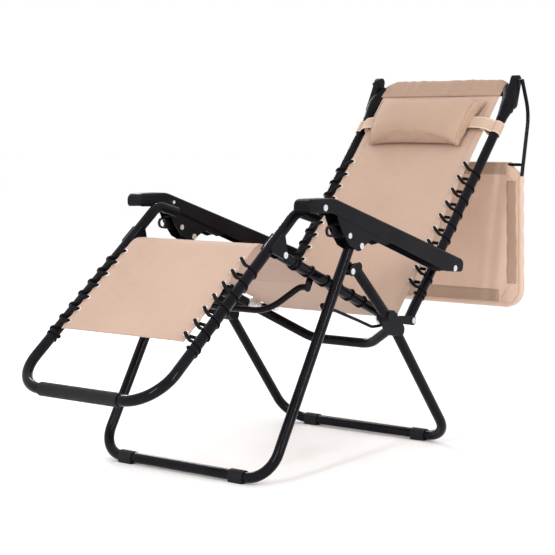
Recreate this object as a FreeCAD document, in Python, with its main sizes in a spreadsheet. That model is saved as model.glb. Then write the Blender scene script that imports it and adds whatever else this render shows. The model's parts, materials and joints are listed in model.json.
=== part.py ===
"""Zero gravity recliner: a folding lounge chair of steel tube with a laced sling.

Frame of the model: +Z up, +X to the sitter's left, the foot end faces -Y.
The origin is on the floor, below the middle of the chair.
Side-view points are (y, z) pairs of the linkage, in the sheet as NAME_y and NAME_z.
"""
import FreeCAD, Part
import math
import os
from FreeCAD import Vector, Placement, Rotation

DIMENSIONS = {
    # linkage pivots, side view
    "apex_y": -76, "apex_z": 557,
    "seat_hub_y": 180, "seat_hub_z": 405,
    "back_hinge_y": 287, "back_hinge_z": 385,
    "knee_y": -301, "knee_z": 612,
    "link_front_y": -149, "link_front_z": 463,
    "link_rear_y": 131, "link_rear_z": 401,
    "arm_front_y": -144, "arm_front_z": 734,
    "arm_disc_y": -207, "arm_disc_z": 738,
    "arm_rear_y": 411, "arm_rear_z": 536,
    "slider_y": -42, "slider_z": 626,
    "lever_y": -94, "lever_z": 657,
    "canopy_y": 851, "canopy_z": 1107,
    # tube routes, side view
    "leg_top_y": -50, "leg_top_z": 655,
    "leg_foot_y": -410, "rear_foot_y": 425, "bar_height": 18,
    "rear_top_y": 142, "rear_top_z": 380,
    "arm_tube_top_y": -46, "arm_tube_top_z": 567,
    "arm_tube_low_y": 112, "arm_tube_low_z": 411,
    "foot_top_y": -151, "foot_top_z": 706,
    "foot_bend_y": -228, "foot_bend_z": 727,
    "foot_bar_y": -790, "foot_bar_z": 264,
    "seat_bow_y": 303, "seat_bow_z": 300,
    # angles and lengths of the three sling frames
    "seat_angle": -23.3, "back_angle": 50.5, "foot_angle": 39.5,
    "back_length": 915,
    # lateral layers, half widths to the tube axes
    "leg_half": 320, "seat_half": 265, "back_half": 265, "link_half": 293.5,
    "canopy_half": 295, "sling_half": 228, "eyelet_half": 221,
    # sections
    "tube_d": 30, "tube_wall": 1.2, "bow_d": 18, "link_d": 9, "canopy_d": 12,
    "leg_bend": 80, "back_bend": 75, "foot_bend": 110, "canopy_bend": 60,
    "pin_d": 10, "pin_play": 0.3, "head_d": 18, "head_height": 2.5,
    "plate": 4, "ear_plate": 3, "gap": 0.4,
    "sling_gauge": 2, "sling_lift": 16, "cord_d": 3.5,
    "eyelet_d": 17, "eyelet_hole": 9, "eyelet_height": 4,
    "pillow_length": 200, "pillow_low": 632, "pillow_half": 225, "pillow_height": 60,
    "pillow_round": 26, "strap_width": 45, "strap_gauge": 1.5,
    "ear_inner": 285.2, "arm_inner": 290, "arm_width": 56, "arm_wall": 3,
    "arm_disc_d": 18, "arm_disc_height": 2.5, "arm_washer_d": 24,
    "hub_washer_d": 56, "hub_washer_height": 4.5,
    "frame_shift": -42.3,
    # castings, lugs and plates
    "lug_width": 12, "lug_foot_r": 12, "lug_eye_r": 11,
    "foot_start": 186, "foot_length": 50, "foot_shell": 3, "foot_spread": 13,
    "hub_half": 21, "hub_ear_r": 13, "hub_web": 6, "apex_plate_r": 13, "apex_socket_r": 14,
    "link_lug": 5, "link_lug_r": 8, "link_lug_foot_r": 9,
    "hinge_foot_r": 11, "hinge_eye_r": 14, "canopy_foot_r": 14, "canopy_eye_r": 12,
    "knee_ear_r": 12, "knee_ear_foot_r": 9, "knee_ear_reach": 26,
    "link_eye_r": 9, "link_neck_r": 6, "link_neck": 16, "link_drop": 3, "link_end_r": 8,
    "crossbar_y": -161, "crossbar_z": 513, "crossbar_dip_y": -186, "crossbar_dip_z": 440,
    "crossbar_dip_half": 120, "crossbar_stub": 26, "crossbar_lug_r": 12, "crossbar_foot_r": 13,
    "hip_bend": 40, "knee_bend": 60, "cover_gap": 2, "cover_gauge": 2, "cover_rivet_lip": 2,
    "strap_play": 2.2, "strap_edge": 7, "strap_rise": 34, "strap_edge_r": 1.5,
    "bracket_inner": 297.5, "bracket_outer": 339.5, "pin_lip": 2,
    "lever_ring_y": -154, "lever_ring_z": 672,
    "grip_half": 148, "grip_shell": 4, "rail_width": 8, "lever_gauge": 6,
    "ring_r": 16.5, "ring_hole_r": 11, "lever_eye_r": 9, "arm_top_round": 7,
    # stations along the bars of a sling frame
    "seat_front_s": -12, "seat_rear_s": 583, "seat_plate_s": 548, "canopy_plate_s": 815,
    "bow_half": 112, "seat_bow_bend": 80, "seat_corner_bend": 110, "foot_top_bend": 45,
}
# side-view discs (y, z, radius) of the castings, and corners of the armrest with their radii
OUTLINES = {
    "hub_socket": [(108, 415, 19), (147, 374, 19)],
    "hub_ear_foot": [(163, 393, 9)],
    "hub_web_foot": [(157, 387, 7)],
    "armrest_shell": [(-277, 724, 12), (-277, 763, 19), (-162, 763, 90), (464, 558, 20),
                      (455, 521, 12), (372, 528, 12), (-172, 721, 60)],
    "armrest_hollow": [(-274, 700, 4), (-274, 760, 16), (-162.5, 760, 87), (461, 555.6, 17),
                       (452, 500, 6), (372, 500, 6)],
    "armrest_rail": [(-120, 711, 3), (-120, 725, 3), (352, 568, 3), (352, 554, 3)],
    "slide_bracket": [(-150, 714, 8), (-128, 672, 12), (-94, 630, 14), (-50, 609, 22),
                      (-22, 628, 10), (8, 642, 14), (62, 622, 14), (106, 627, 6), (112, 642, 5),
                      (-128, 722, 8)],
}
# middle points (y, z) of bent rods in side view, and their bend radii
ROUTES = {
    "fold_link": [(8, 410), (72, 386), (112, 386)],
    "canopy": [(893, 1000), (850, 770), (862, 385)],
    "canopy_cover": [(857.5, 842), (850, 770), (861, 378)],
}
BENDS = {"fold_link": [120, 60, 20], "crossbar": [40, 150, 150, 40], "canopy": [150, 500]}
CANOPY_CROSS = (857, 837)
# the armrest's upper rim: its height at the bend, where that is, and how it falls behind it
ARM_RIM_HEIGHT, ARM_RIM_BEND, ARM_RIM_FALL = 745.0, -162.0, 0.33
# eyelets along each sling frame, and where its panel starts and stops
EYELETS = {
    "seat": (104, 190, 250, 310, 370, 430),
    "back": (132, 181, 230, 279, 328, 377, 427, 477, 527, 580),
    "leg": (232, 275, 325, 373),
}
PANEL_ENDS = {"seat": (60, 520), "back": (120, 912)}
LEG_PANEL_START = 205
EYELET_INSET = 0.97           # share of the cord's half width at which an eyelet sits
BRACKET_SPACERS = ((-6, 652), (-128, 690))
KNEE_OVERLAP = 212            # how far before the knee the leg panel stops
PANEL_GAP = 1                 # between one panel and the next
SIDES = (("left", 1), ("right", -1))

doc = FreeCAD.newDocument("ZeroGravityRecliner")
sheet = doc.addObject("Spreadsheet::Sheet", "Dimensions")
for row, (alias, value) in enumerate(DIMENSIONS.items(), start=1):
    sheet.set("A%d" % row, alias)
    sheet.set("B%d" % row, str(value))
    sheet.setAlias("B%d" % row, alias)
doc.recompute()

nodes = []


def dim(alias):
    """A driving dimension, read from the sheet."""
    return float(getattr(sheet, alias))


def point(name):
    """A side-view point (y, z) of the sheet."""
    return (dim(name + "_y"), dim(name + "_z"))


def keep(obj, label):
    """Name a finished sub-part and shift it from the linkage frame to the model frame."""
    obj.Label = label
    shift = Placement(Vector(0, dim("frame_shift"), 0), Rotation())
    obj.Placement = shift.multiply(obj.Placement)
    nodes.append(obj)
    return obj


def group(label, members):
    """Several separate solids that form one sub-part."""
    compound = doc.addObject("Part::Compound", label)
    compound.Links = members
    return keep(compound, label)


def cut(base, tool):
    """Base minus tool."""
    obj = doc.addObject("Part::Cut", "Cut")
    obj.Base = base
    obj.Tool = tool
    return obj


def fuse(members):
    """One solid out of members that meet."""
    obj = doc.addObject("Part::MultiFuse", "Union")
    obj.Shapes = members
    return obj


def bundle(members):
    """Members as one tool for a boolean."""
    obj = doc.addObject("Part::Compound", "Bundle")
    obj.Links = members
    return obj


# ---------------------------------------------------------------- tubes

def rounded_route(corners, radii):
    """Straight runs through the corners, joined by tangent arcs."""
    edges = []
    start = corners[0]
    for corner, after, radius in zip(corners[1:-1], corners[2:], radii):
        come = (corner - start).normalize()
        leave = (after - corner).normalize()
        turn = come.getAngle(leave)
        trim = radius * math.tan(turn / 2)
        first = corner - come * trim
        last = corner + leave * trim
        centre_way = (leave - come).normalize()
        middle = corner + centre_way * (radius / math.cos(turn / 2) - radius)
        edges.append(Part.LineSegment(start, first).toShape())
        edges.append(Part.Arc(first, middle, last).toShape())
        start = last
    edges.append(Part.LineSegment(start, corners[-1]).toShape())
    return Part.Wire(edges)


def rod(corners, radii, radius_formula):
    """A solid round bar along a route, its radius bound to the sheet."""
    route = doc.addObject("Part::Feature", "Route")
    route.Shape = rounded_route(corners, radii)
    section = doc.addObject("Part::Circle", "Section")
    section.setExpression("Radius", radius_formula)
    way = (corners[1] - corners[0]).normalize()
    section.Placement = Placement(corners[0], Rotation(Vector(0, 0, 1), way))
    sweep = doc.addObject("Part::Sweep", "Sweep")
    sweep.Sections = [section]
    sweep.Spine = (route, ["Edge%d" % (n + 1) for n in range(len(route.Shape.Edges))])
    sweep.Solid = True
    sweep.Frenet = False
    return sweep


def tube(corners, radii, diameter="tube_d"):
    """A hollow tube: the outer bar and the tube cut by its bore."""
    outer = rod(corners, radii, "Dimensions.%s / 2" % diameter)
    bore = rod(corners, radii, "Dimensions.%s / 2 - Dimensions.tube_wall" % diameter)
    return cut(outer, bore)


def at(x, side_point):
    """A point in space from its width and side-view place."""
    return Vector(x, side_point[0], side_point[1])


def hoop(side_route, half, radii, diameter="tube_d"):
    """A U-shaped tube: down one side, across, and up the other."""
    left = [at(half, p) for p in side_route]
    right = [at(-half, p) for p in reversed(side_route)]
    return tube(left + right, radii + list(reversed(radii)), diameter)


# ---------------------------------------------------------------- plates and pins

def disc_hull(discs):
    """Sketch curves of the hull of discs (u, v, radius), given counter-clockwise."""
    tangents = []
    for (u1, v1, r1), (u2, v2, r2) in zip(discs, discs[1:] + discs[:1]):
        span = math.hypot(u2 - u1, v2 - v1)
        along = ((u2 - u1) / span, (v2 - v1) / span)
        lean = (r1 - r2) / span
        out = math.sqrt(1 - lean * lean)
        normal = (along[1] * out + along[0] * lean, -along[0] * out + along[1] * lean)
        first = Vector(u1 + r1 * normal[0], v1 + r1 * normal[1], 0)
        last = Vector(u2 + r2 * normal[0], v2 + r2 * normal[1], 0)
        tangents.append((first, last, math.atan2(normal[1], normal[0])))
    curves = []
    for index, (u, v, radius) in enumerate(discs):
        before, now = tangents[index - 1], tangents[index]
        curves.append(arc_curve(u, v, radius, before[2], now[2]))
        curves.append(Part.LineSegment(now[0], now[1]))
    return curves


def arc_curve(u, v, radius, start, stop):
    """A counter-clockwise arc between two angles in radians."""
    if stop < start:
        stop += 2 * math.pi
    return Part.ArcOfCircle(Part.Circle(Vector(u, v, 0), Vector(0, 0, 1), radius), start, stop)


def rounded_outline(corners):
    """Sketch curves of a closed outline of (u, v, corner radius)."""
    count = len(corners)
    trims = []
    for index, (u, v, radius) in enumerate(corners):
        here = Vector(u, v, 0)
        before = Vector(corners[index - 1][0], corners[index - 1][1], 0)
        after = Vector(corners[(index + 1) % count][0], corners[(index + 1) % count][1], 0)
        come = (here - before).normalize()
        leave = (after - here).normalize()
        turn = come.getAngle(leave)
        trim = radius * math.tan(turn / 2)
        middle = here + (leave - come).normalize() * (radius / math.cos(turn / 2) - radius)
        trims.append((here - come * trim, middle, here + leave * trim))
    curves = []
    for index, (first, middle, last) in enumerate(trims):
        curves.append(Part.Arc(first, middle, last))
        curves.append(Part.LineSegment(last, trims[(index + 1) % count][0]))
    return curves


def body_plane(body, role):
    """An origin plane of a body."""
    return [item for item in body.Origin.OriginFeatures if item.Role == role][0]


def plate(curves, low, length_formula, holes=()):
    """A PartDesign plate: an outline in the side plane, padded along +X from low."""
    body = doc.addObject("PartDesign::Body", "Plate")
    sketch = body.newObject("Sketcher::SketchObject", "Outline")
    sketch.AttachmentSupport = [(body_plane(body, "YZ_Plane"), "")]
    sketch.MapMode = "FlatFace"
    sketch.AttachmentOffset = Placement(Vector(0, 0, low), Rotation())
    sketch.addGeometry(curves, False)
    for u, v, radius in holes:
        sketch.addGeometry(Part.Circle(Vector(u, v, 0), Vector(0, 0, 1), radius), False)
    pad = body.newObject("PartDesign::Pad", "Pad")
    pad.Profile = sketch
    pad.setExpression("Length", length_formula)
    body.Tip = pad
    return body


def side_low(side, inner, thickness):
    """The lower X of a layer that starts at a distance from the middle plane."""
    return inner if side > 0 else -inner - thickness


def drum(side_point, side, inner, outer, radius_formula):
    """A cylinder along X between two distances from the middle plane."""
    obj = doc.addObject("Part::Cylinder", "Drum")
    obj.setExpression("Radius", radius_formula)
    obj.Height = outer - inner
    low = side_low(side, inner, outer - inner)
    obj.Placement = Placement(at(low, side_point), Rotation(Vector(0, 1, 0), 90))
    return obj


PIN = "Dimensions.pin_d / 2"
BORE = "Dimensions.pin_d / 2 + Dimensions.pin_play"
HEAD = "Dimensions.head_d / 2"


def rivet(side_point, side, inner, outer):
    """A rivet along X: its shank and a domed head at each end."""
    height = dim("head_height")
    shank = drum(side_point, side, inner, outer, PIN)
    heads = [drum(side_point, side, inner - height, inner, HEAD),
             drum(side_point, side, outer, outer + height, HEAD)]
    return fuse([shank] + heads)


def head(side_point, side, inner):
    """A rivet head alone, standing outward from a face."""
    return drum(side_point, side, inner, inner + dim("head_height"), HEAD)


def bores(side_points, half):
    """Cutting tools for rivet holes through a tube on both sides."""
    reach = dim("tube_d")
    tools = [drum(p, side, half - reach, half + reach, BORE)
             for p in side_points for _, side in SIDES]
    return bundle(tools)


def frame_place(origin, angle):
    """Placement of a sling frame: X across, Y along the bars, Z up from them."""
    return Placement(Vector(0, origin[0], origin[1]), Rotation(Vector(1, 0, 0), angle))


# ---------------------------------------------------------------- places worked out from the sheet

R_TUBE = dim("tube_d") / 2
R_PIN = dim("pin_d") / 2
R_BORE = R_PIN + dim("pin_play")
GAP = dim("gap")
PLATE = dim("plate")
EAR = dim("ear_plate")
CLIP_PLAY = 0.05
LEG = dim("leg_half")
EAR_INNER = dim("ear_inner")
SEAT = dim("seat_half")
BACK = dim("back_half")
APEX = point("apex")
HUB = point("seat_hub")
HINGE = point("back_hinge")
KNEE = point("knee")
SLIDER = point("slider")
LEVER = point("lever")
CANOPY = point("canopy")
FRONT_FOOT = (dim("leg_foot_y"), dim("bar_height"))
REAR_FOOT = (dim("rear_foot_y"), dim("bar_height"))
FOOT_BAR = point("foot_bar")

seat_place = frame_place(KNEE, dim("seat_angle"))
back_place = frame_place(HINGE, dim("back_angle"))
foot_place = frame_place(FOOT_BAR, dim("foot_angle"))


def in_frame(place, along, lift=0.0):
    """Side-view point of a place along a sling frame."""
    spot = place.multVec(Vector(0, along, lift))
    return (spot.y, spot.z)


def frame_along(place, side_point):
    """How far along a sling frame a side-view point lies."""
    return place.inverse().multVec(at(0, side_point)).y


# ---------------------------------------------------------------- front legs

def make_front_legs():
    """The fixed U of the scissor, with its lugs, saddles and floor pads."""
    route = [point("leg_top"), FRONT_FOOT]
    keep(hoop(route, LEG, [dim("leg_bend")]), "front_leg_frame")
    corners = [at(LEG, route[0]), at(LEG, route[1]), at(-LEG, route[1]), at(-LEG, route[0])]
    lug_width = dim("lug_width")
    for label, pivot in (("apex_lugs", APEX), ("slider_lugs", SLIDER)):
        anchor = nearest_on_leg(pivot)
        members = []
        for _, side in SIDES:
            low = side_low(side, LEG - lug_width / 2, lug_width)
            lug = plate(disc_hull([(*anchor, dim("lug_foot_r")), (*pivot, dim("lug_eye_r"))]), low,
                        "Dimensions.lug_width", [(*pivot, R_BORE)])
            solid_leg = rod(corners, [dim("leg_bend")] * 2, "Dimensions.tube_d / 2")
            members.append(cut(lug, solid_leg))
        group(label, members)
    make_feet("front_leg_feet", FRONT_FOOT)
    studs = []
    spot = point("link_front")
    for _, side in SIDES:
        inner = dim("link_half") - dim("link_d") / 2 - GAP
        shank = drum(spot, side, inner, LEG - R_TUBE - 0.1, "Dimensions.pin_d / 2 - 2")
        end = drum(spot, side, inner - dim("head_height"), inner, "Dimensions.head_d / 2 - 1")
        studs.append(fuse([shank, end]))
    group("link_studs", studs)


def nearest_on_leg(spot):
    """The nearest point of the front leg's axis, in side view."""
    top = Vector(*point("leg_top"), 0)
    way = (Vector(*FRONT_FOOT, 0) - top).normalize()
    along = (Vector(*spot, 0) - top).dot(way)
    near = top + way * along
    return (near.x, near.y)


def make_feet(label, bar):
    """Two plastic pads clipped round a floor bar, flat below."""
    inner_end, width = dim("foot_start"), dim("foot_length")
    shell, spread = dim("foot_shell"), dim("foot_spread")
    edge = shell
    radius = R_TUBE + shell
    members = []
    for _, side in SIDES:
        low = side_low(side, inner_end, width)
        discs = [(bar[0] - spread, bar[1] - radius + edge, edge),
                 (bar[0] + spread, bar[1] - radius + edge, edge), (*bar, radius)]
        members.append(plate(disc_hull(discs), low, "Dimensions.foot_length",
                             [(*bar, R_TUBE + CLIP_PLAY)]))
    group(label, members)


# ---------------------------------------------------------------- rear legs

def make_rear_legs():
    """The folding U of the scissor: floor hoop, hubs, upper arms and apex plates."""
    low_route = [point("rear_top"), REAR_FOOT]
    keep(hoop(low_route, LEG, [dim("leg_bend")]), "rear_leg_frame")
    make_feet("rear_leg_feet", REAR_FOOT)
    arm_top, arm_low = point("arm_tube_top"), point("arm_tube_low")
    hub_half, ear_inner = dim("hub_half"), EAR_INNER
    hub_inner = LEG - hub_half
    ear_foot = OUTLINES["hub_ear_foot"]
    plates, rivets = [], []
    for name, side in SIDES:
        arm_route = [at(side * LEG, arm_top), at(side * LEG, arm_low)]
        keep(tube(arm_route, []), "rear_leg_arm_" + name)
        hub = plate(disc_hull(OUTLINES["hub_socket"]),
                    side_low(side, hub_inner, 2 * hub_half), "2 * Dimensions.hub_half")
        ear = plate(disc_hull(ear_foot + [(*HUB, dim("hub_ear_r"))]),
                    side_low(side, ear_inner, hub_inner - ear_inner),
                    "Dimensions.leg_half - Dimensions.hub_half - Dimensions.ear_inner",
                    [(*HUB, R_BORE)])
        web = plate(disc_hull(OUTLINES["hub_web_foot"] + ear_foot),
                    side_low(side, hub_inner - dim("hub_web"), 2 * dim("hub_web")),
                    "2 * Dimensions.hub_web")
        sockets = bundle([rod(arm_route, [], "Dimensions.tube_d / 2"),
                          rod([at(side * LEG, low_route[0]), at(side * LEG, REAR_FOOT)], [],
                              "Dimensions.tube_d / 2")])
        keep(cut(fuse([hub, ear, web]), sockets), "rear_leg_hub_" + name)
        for inner in (LEG - R_TUBE - GAP - EAR, LEG + R_TUBE + GAP):
            plates.append(plate(disc_hull([(*APEX, dim("apex_plate_r")),
                                           (*arm_top, dim("apex_socket_r"))]),
                                side_low(side, inner, EAR), "Dimensions.ear_plate",
                                [(*APEX, R_PIN)]))
        rivets.append(rivet(APEX, side, LEG - R_TUBE - GAP - EAR, LEG + R_TUBE + GAP + EAR))
    group("apex_plates", plates)
    group("apex_rivets", rivets)


# ---------------------------------------------------------------- fold links

def make_links():
    """J-shaped rods from the front legs to the seat, with an eye at the front end."""
    front, rear = point("link_front"), point("link_rear")
    half = dim("link_half")
    thick, neck_r = dim("link_d"), dim("link_neck_r")
    neck, drop = dim("link_neck"), dim("link_drop")
    for name, side in SIDES:
        eye = plate(disc_hull([(*front, dim("link_eye_r")),
                               (front[0] + neck, front[1] - drop, neck_r)]),
                    side_low(side, half - thick / 2, thick), "Dimensions.link_d",
                    [(*front, R_BORE - 2)])
        route = ([(front[0] + neck - 2, front[1] - drop)] + ROUTES["fold_link"]
                 + [(rear[0], rear[1] - 2)])
        bar = rod([at(side * half, p) for p in route], BENDS["fold_link"],
                  "Dimensions.link_d / 2")
        end = plate(disc_hull([(rear[0] - drop, rear[1] - drop, neck_r),
                               (*rear, dim("link_end_r"))]),
                    side_low(side, half - thick / 2, thick), "Dimensions.link_d")
        keep(fuse([eye, bar, end]), "fold_link_" + name)


# ---------------------------------------------------------------- seat

def make_seat():
    """Seat hoop, bowed front crossbar, brackets, sling panel and back hinge plates."""
    front = in_frame(seat_place, dim("seat_front_s"))
    rear = in_frame(seat_place, dim("seat_rear_s"))
    bow = point("seat_bow")
    bow_half = dim("bow_half")
    corners = [at(SEAT, front), at(SEAT, rear), at(bow_half, bow)]
    corners += [Vector(-p.x, p.y, p.z) for p in reversed(corners)]
    bow_bend, corner_bend = dim("seat_bow_bend"), dim("seat_corner_bend")
    frame = tube(corners, [bow_bend, corner_bend, corner_bend, bow_bend])
    keep(cut(frame, bores([KNEE, HUB, seat_end()], SEAT)), "seat_frame")
    make_front_crossbar()
    make_back_hinges()
    link_rear = point("link_rear")
    above = in_frame(seat_place, frame_along(seat_place, link_rear))
    lugs = [plate(disc_hull([(*link_rear, dim("link_lug_r")), (*above, dim("link_lug_foot_r"))]),
                  side_low(side, SEAT + R_TUBE + GAP, dim("link_lug")), "Dimensions.link_lug")
            for _, side in SIDES]
    group("link_lugs", lugs)
    sling_panel("seat", seat_place, *PANEL_ENDS["seat"])


def seat_end():
    """Where the hinge plate is bolted to the seat bar."""
    return in_frame(seat_place, dim("seat_plate_s"))


def make_front_crossbar():
    """The bowed stretcher that hangs below the seat bars."""
    ends, dip = point("crossbar"), point("crossbar_dip")
    dip_half, inner = dim("crossbar_dip_half"), SEAT - R_TUBE - PLATE - GAP
    stub = dim("crossbar_stub")
    corners = [at(inner, ends), at(inner - stub, ends), at(dip_half, dip)]
    corners += [Vector(-p.x, p.y, p.z) for p in reversed(corners)]
    keep(rod(corners, BENDS["crossbar"], "Dimensions.bow_d / 2"), "front_crossbar")
    above = in_frame(seat_place, frame_along(seat_place, ends))
    members = [plate(disc_hull([(*ends, dim("crossbar_lug_r")), (*above, dim("crossbar_foot_r"))]),
                     side_low(side, inner, PLATE), "Dimensions.plate") for _, side in SIDES]
    group("crossbar_brackets", members)


def make_back_hinges():
    """Plates that carry the lower ends of the backrest, and the rivets round the seat hub."""
    base = seat_end()
    members, bolts = [], []
    inner_face, outer_face = SEAT - R_TUBE - GAP, SEAT + R_TUBE + GAP
    for _, side in SIDES:
        members.append(plate(disc_hull([(*base, dim("hinge_foot_r")), (*HINGE, dim("hinge_eye_r"))]),
                             side_low(side, outer_face, PLATE), "Dimensions.plate",
                             [(base[0], base[1], R_PIN),
                              (*HINGE, R_BORE)]))
        bolts.append(fuse([drum(base, side, SEAT, outer_face + PLATE, PIN),
                           head(base, side, outer_face + PLATE)]))
    group("back_hinge_plates", members)
    group("hinge_plate_bolts", bolts)
    inner, outer = EAR_INNER, LEG - dim("hub_half")
    washer_face = SEAT - R_TUBE - 1
    hub_rivets = []
    for _, side in SIDES:
        shank = drum(HUB, side, washer_face, outer + 0.4, PIN)
        ends = [drum(HUB, side, washer_face - dim("hub_washer_height"), washer_face,
                     "Dimensions.hub_washer_d / 2"),
                drum(HUB, side, SEAT + R_TUBE + 1, inner - 1, "Dimensions.pin_d / 2 + 2"),
                drum(HUB, side, outer + 0.4, outer + 0.4 + dim("head_height"), HEAD)]
        hub_rivets.append(fuse([shank] + ends))
    group("seat_rivets", hub_rivets)
    group("back_rivets", [rivet(HINGE, side, inner_face, outer_face + PLATE + GAP)
                          for _, side in SIDES])


def sling_panel(name, place, start, stop):
    """A flat sling panel in its frame, with eyelets and cord loops round the bars."""
    gauge, lift, half = dim("sling_gauge"), dim("sling_lift"), dim("sling_half")
    panel = doc.addObject("Part::Box", "Panel")
    panel.setExpression("Length", "2 * Dimensions.sling_half")
    panel.setExpression("Height", "Dimensions.sling_gauge")
    panel.Width = stop - start
    panel.Placement = place.multiply(Placement(Vector(-half, start, lift), Rotation()))
    eyelets, inset = EYELETS[name], dim("eyelet_half") * EYELET_INSET
    holes, outers, inners = [], [], []
    height = dim("eyelet_height")
    for along in eyelets:
        for _, side in SIDES:
            low = place.multiply(Placement(Vector(side * inset, along,
                                                  lift + gauge / 2 - height / 2), Rotation()))
            for members, formula in ((holes, "Dimensions.eyelet_d / 2"),
                                     (outers, "Dimensions.eyelet_d / 2"),
                                     (inners, "Dimensions.eyelet_hole / 2")):
                ring = doc.addObject("Part::Cylinder", "Ring")
                ring.setExpression("Radius", formula)
                ring.Height = height
                ring.Placement = low
                members.append(ring)
    keep(cut(panel, bundle(holes)), name + "_sling")
    keep(cut(bundle(outers), bundle(inners)), name + "_eyelets")
    half_bar = {"seat": SEAT, "back": BACK, "leg": SEAT}[name]
    loops = [cord_loop(place, along, side, half_bar) for along in eyelets for _, side in SIDES]
    group(name + "_lacing", loops)


def cord_loop(place, along, side, half_bar):
    """One turn of the lacing: through an eyelet and round the bar beside it."""
    radius = R_TUBE + dim("cord_d") / 2 + 0.4
    eye_x = dim("eyelet_half") * 0.97 + 2.4
    eye_z = dim("sling_lift") + dim("sling_gauge") / 2
    small = dim("cord_d") / 2 + 2.8
    curves = disc_hull([(eye_x, eye_z, small), (half_bar, 0, radius)])
    edges = [curve.toShape() for curve in curves]
    for edge in edges:
        edge.transformShape(Placement(Vector(0, 0, 0), Rotation(Vector(1, 0, 0), 90)).toMatrix())
    if side < 0:
        edges = [edge.mirror(Vector(0, 0, 0), Vector(1, 0, 0)) for edge in edges]
    wire = Part.Wire(Part.__sortEdges__(edges))
    start = wire.OrderedVertexes[0].Point
    first = wire.OrderedEdges[0]
    way = first.tangentAt(first.FirstParameter)
    section = Part.Wire(Part.makeCircle(dim("cord_d") / 2, start, way))
    loop = doc.addObject("Part::Feature", "CordLoop")
    loop.Shape = wire.makePipeShell([section], True, False)
    loop.Placement = place.multiply(Placement(Vector(0, along, 0), Rotation()))
    return loop


# ---------------------------------------------------------------- backrest

def make_backrest():
    """Inverted U of the back, its sling and the canopy brackets."""
    route = [in_frame(back_place, 0), in_frame(back_place, dim("back_length"))]
    keep(cut(hoop(route, BACK, [dim("back_bend")]), bores([HINGE], BACK)), "backrest_frame")
    sling_panel("back", back_place, *PANEL_ENDS["back"])
    plate_foot = in_frame(back_place, dim("canopy_plate_s"))
    inner = BACK + R_TUBE
    members = [plate(disc_hull([(*plate_foot, dim("canopy_foot_r")), (*CANOPY, dim("canopy_eye_r"))]),
                     side_low(side, inner, PLATE), "Dimensions.plate",
                     [(*CANOPY, R_BORE - 2)])
               for _, side in SIDES]
    group("canopy_brackets", members)


def make_hip_and_knee():
    """Where the sling turns from back to seat and from seat to legs."""
    lift, gauge = dim("sling_lift"), dim("sling_gauge")
    hip = [in_frame(back_place, PANEL_ENDS["back"][0] - PANEL_GAP, lift), crossing(back_place, seat_place, lift),
           in_frame(seat_place, PANEL_ENDS["seat"][1] + PANEL_GAP, lift)]
    keep(bent_band(hip, gauge, dim("hip_bend")), "hip_sling")
    knee_start = frame_along(foot_place, KNEE) - KNEE_OVERLAP + PANEL_GAP
    knee = [in_frame(seat_place, PANEL_ENDS["seat"][0] - PANEL_GAP, lift), crossing(seat_place, foot_place, lift),
            in_frame(foot_place, knee_start, lift)]
    keep(bent_band(knee, gauge, dim("knee_bend")), "knee_sling")


def crossing(first, second, lift):
    """Side-view point where the planes of two sling frames meet at a lift."""
    origin = first.multVec(Vector(0, 0, lift))
    way = first.Rotation.multVec(Vector(0, 1, 0))
    normal = second.Rotation.multVec(Vector(0, 0, 1))
    target = second.multVec(Vector(0, 0, lift))
    spot = origin + way * ((target - origin).dot(normal) / way.dot(normal))
    return (spot.y, spot.z)


def bent_band(side_route, gauge, radius):
    """A strip of sling across the chair that follows a bent side-view route."""
    points = [Vector(p[0], p[1], 0) for p in side_route]
    come = (points[1] - points[0]).normalize()
    leave = (points[2] - points[1]).normalize()
    turn = come.getAngle(leave)
    outer = [offset_route(points, come, leave, turn, shift, radius) for shift in (0.0, gauge)]
    curves = list(outer[0])
    far = outer[1]
    curves.append(Part.LineSegment(curves[-1].EndPoint, far[-1].EndPoint))
    curves += [far[2], far[1], far[0]]
    curves.append(Part.LineSegment(far[0].StartPoint, curves[0].StartPoint))
    half = dim("sling_half")
    return plate(curves, -half, "2 * Dimensions.sling_half")


def offset_route(points, come, leave, turn, shift, radius):
    """Line, arc, line of one face of a bent strip; shift is towards its upper side."""
    first_normal = Vector(-come.y, come.x, 0)
    last_normal = Vector(-leave.y, leave.x, 0)
    if first_normal.y < 0:
        first_normal, last_normal = first_normal * -1, last_normal * -1
    corner = points[1] + (first_normal + last_normal).normalize() * (
        shift / math.cos(turn / 2))
    inner_side = (first_normal.dot(leave - come) > 0)
    own_radius = radius - shift if inner_side else radius + shift
    trim = own_radius * math.tan(turn / 2)
    middle = corner + (leave - come).normalize() * (own_radius / math.cos(turn / 2) - own_radius)
    start = points[0] + first_normal * shift
    stop = points[2] + last_normal * shift
    first, last = corner - come * trim, corner + leave * trim
    return [Part.LineSegment(start, first), Part.Arc(first, middle, last),
            Part.LineSegment(last, stop)]


# ---------------------------------------------------------------- footrest

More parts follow.
